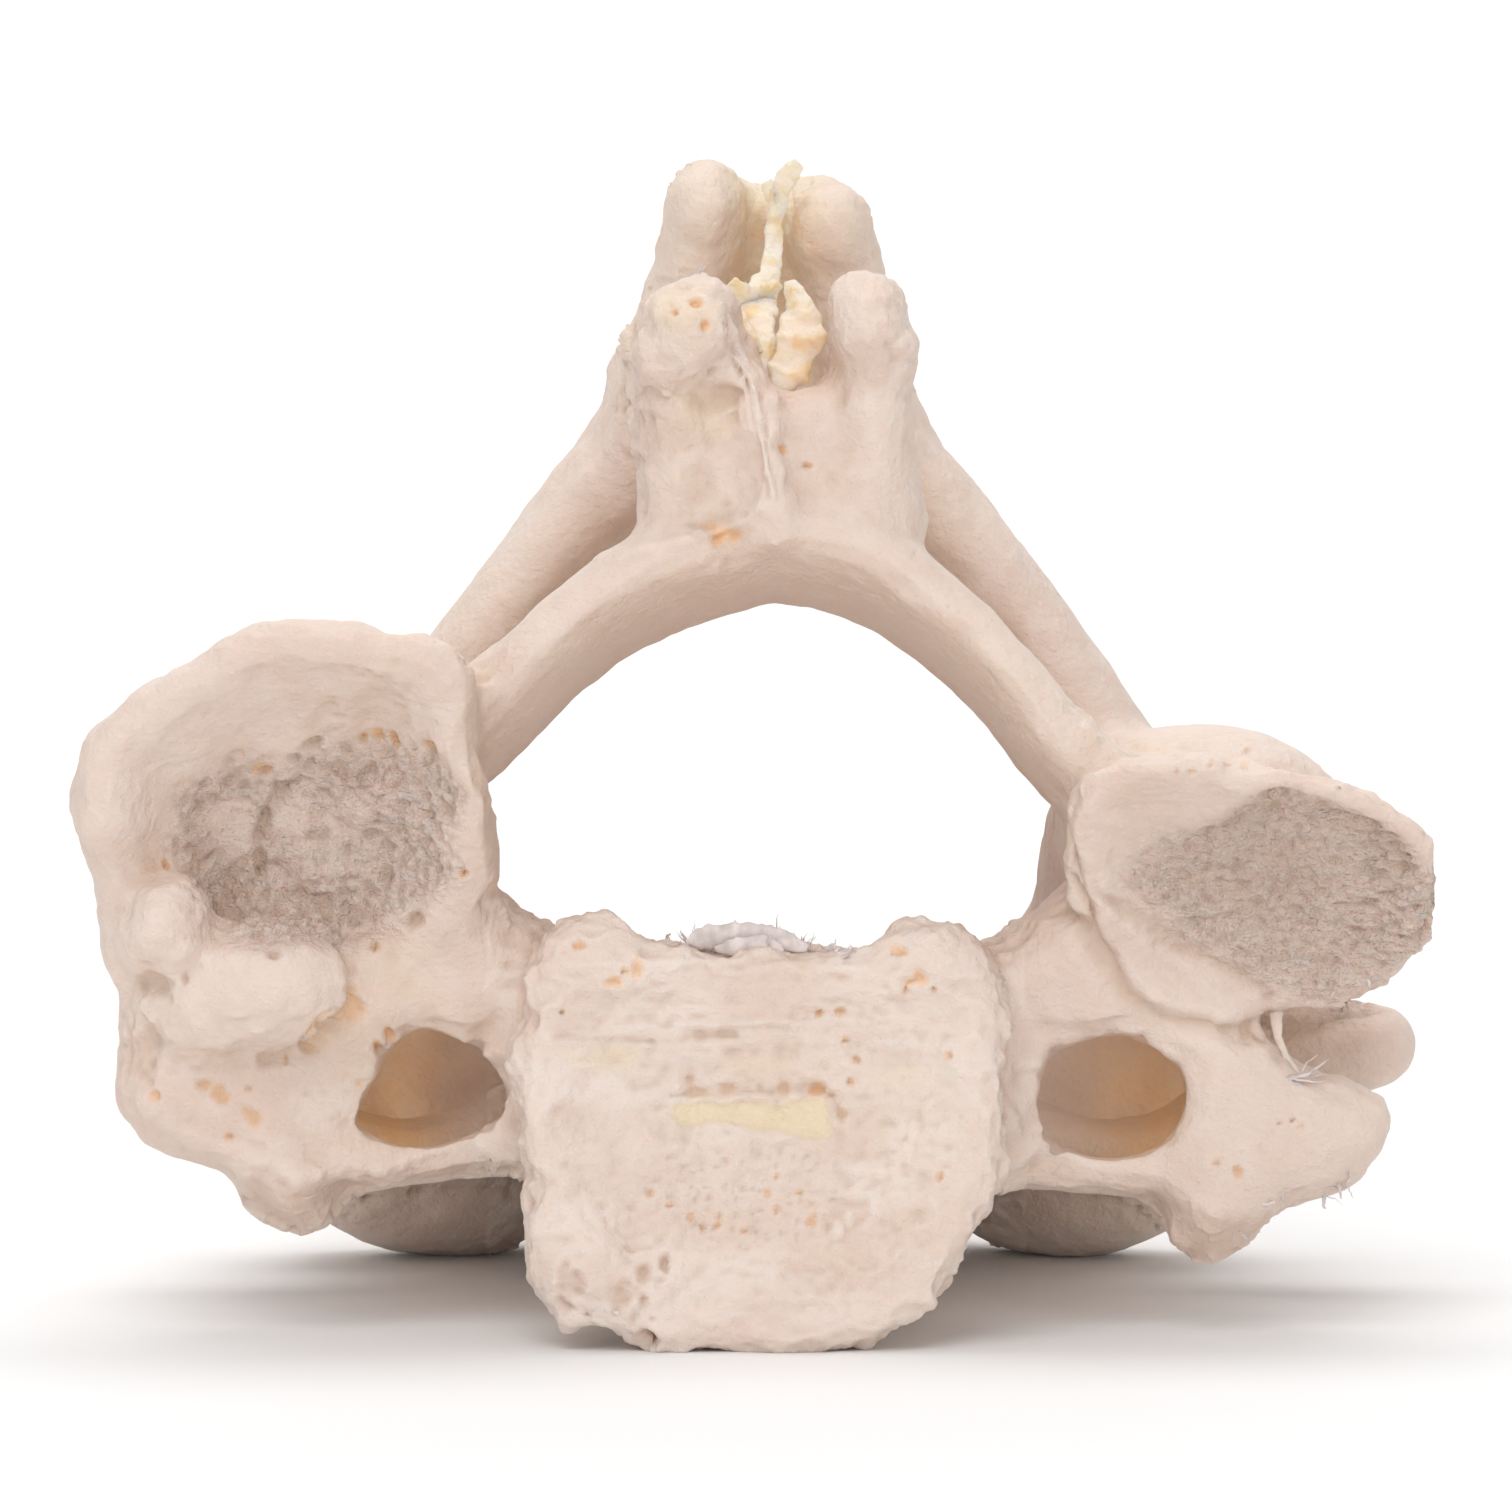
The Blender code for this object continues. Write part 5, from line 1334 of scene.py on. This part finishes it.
class VERTEBRAE_OT_stage(bpy.types.Operator):
    """Set the seamless floor, the soft lamps and the camera"""

    bl_idname = "vertebrae.stage"
    bl_label = "Stage"

    def execute(self, context):
        settings = context.scene.vertebrae.stage
        add_floor(settings)
        add_lamps(settings)
        add_camera(settings)
        return {"FINISHED"}


def add_floor(settings):
    """A seamless sweep: a floor that curves up behind the bone."""
    half_width, front, back, radius, height = 1.6, -1.2, 0.9, 0.5, 1.8
    profile = [(front, 0.0), (0.0, 0.0), (back - radius, 0.0)]
    for step in range(1, 13):
        angle = math.radians(90 * step / 12)
        profile.append((back - radius + radius * math.sin(angle),
                        radius - radius * math.cos(angle)))
    profile.append((back, height))
    verts = [(x, y, z) for y, z in profile for x in (-half_width, half_width)]
    faces = [(2 * k, 2 * k + 1, 2 * k + 3, 2 * k + 2) for k in range(len(profile) - 1)]
    data = bpy.data.meshes.new("floor")
    data.from_pydata(verts, [], faces)
    data.shade_smooth()
    material, _, shader = nodes_of("floor")
    shader.inputs["Base Color"].default_value = (*settings.floor, 1.0)
    shader.inputs["Roughness"].default_value = 0.9
    data.materials.append(material)
    add_object("floor", data)


def add_lamps(settings):
    """A large lamp above, a soft one by the camera, one on the backdrop, white surroundings."""
    bone = (0.0, 0.0, 0.025)
    lamps = [("key", (-0.10, -0.40, 0.42), bone, 0.35, settings.key),
             ("fill", (0.1, -0.62, 0.045), bone, 0.3, settings.fill),
             ("back", (0.0, 0.25, 0.95), (0.0, 0.9, 0.25), 0.8, settings.back)]
    for name, place, target, size, power in lamps:
        light = bpy.data.lights.new(name, "AREA")
        light.energy = power
        light.size = size
        lamp = bpy.data.objects.new(name, light)
        lamp.location = place
        aim = Vector(target) - Vector(place)
        lamp.rotation_euler = aim.to_track_quat("-Z", "Y").to_euler()
        lamp.visible_camera = False
        bpy.context.scene.collection.objects.link(lamp)
    world = bpy.data.worlds.new("surroundings")
    world.use_nodes = True
    background = world.node_tree.nodes["Background"]
    background.inputs["Color"].default_value = (1.0, 1.0, 1.0, 1.0)
    background.inputs["Strength"].default_value = settings.sky
    bpy.context.scene.world = world
    bpy.context.scene.view_settings.view_transform = "Standard"


def add_camera(settings):
    """The photograph's view: from below the neck, a little above the floor."""
    data = bpy.data.cameras.new("camera")
    data.sensor_fit = "HORIZONTAL"
    data.angle = 2 * math.atan(settings.frame_width / 2 / settings.distance)
    data.clip_start = 0.02
    data.clip_end = 10.0
    camera = bpy.data.objects.new("camera", data)
    bpy.context.scene.collection.objects.link(camera)
    stand = Matrix.Translation((0.0, -settings.distance, 0.0))
    camera.matrix_world = BONE_TO_ROW @ stand @ Matrix.Rotation(math.radians(90), 4, "X")
    bpy.context.scene.camera = camera


class VERTEBRAE_PT_panel(bpy.types.Panel):
    """The steps that build the specimen"""

    bl_idname = "VERTEBRAE_PT_panel"
    bl_label = "Vertebrae"
    bl_space_type = "VIEW_3D"
    bl_region_type = "UI"
    bl_category = "Vertebrae"

    def draw(self, context):
        settings = context.scene.vertebrae
        scraps = (VERTEBRAE_OT_straps, VERTEBRAE_OT_ligament, VERTEBRAE_OT_fibres)
        for group, steps in ((settings.bone, (VERTEBRAE_OT_bone,)), (settings.scraps, scraps),
                             (settings.stage, (VERTEBRAE_OT_stage,))):
            box = self.layout.box()
            for name in group.__annotations__:
                box.prop(group, name)
            for step in steps:
                box.operator(step.bl_idname)


CLASSES = (BoneSettings, ScrapSettings, StageSettings, Settings, VERTEBRAE_OT_bone,
           VERTEBRAE_OT_straps, VERTEBRAE_OT_ligament, VERTEBRAE_OT_fibres, VERTEBRAE_OT_stage,
           VERTEBRAE_PT_panel)


def register():
    """Adds the classes and the scene's settings."""
    for item in CLASSES:
        bpy.utils.register_class(item)
    bpy.types.Scene.vertebrae = PointerProperty(type=Settings)


def unregister():
    """Removes the classes and the scene's settings."""
    del bpy.types.Scene.vertebrae
    for item in reversed(CLASSES):
        bpy.utils.unregister_class(item)


def main():
    """Builds everything in order."""
    register()
    bpy.ops.vertebrae.bone()
    bpy.ops.vertebrae.straps()
    bpy.ops.vertebrae.ligament()
    bpy.ops.vertebrae.fibres()
    bpy.ops.vertebrae.stage()


if __name__ == "__main__":
    main()
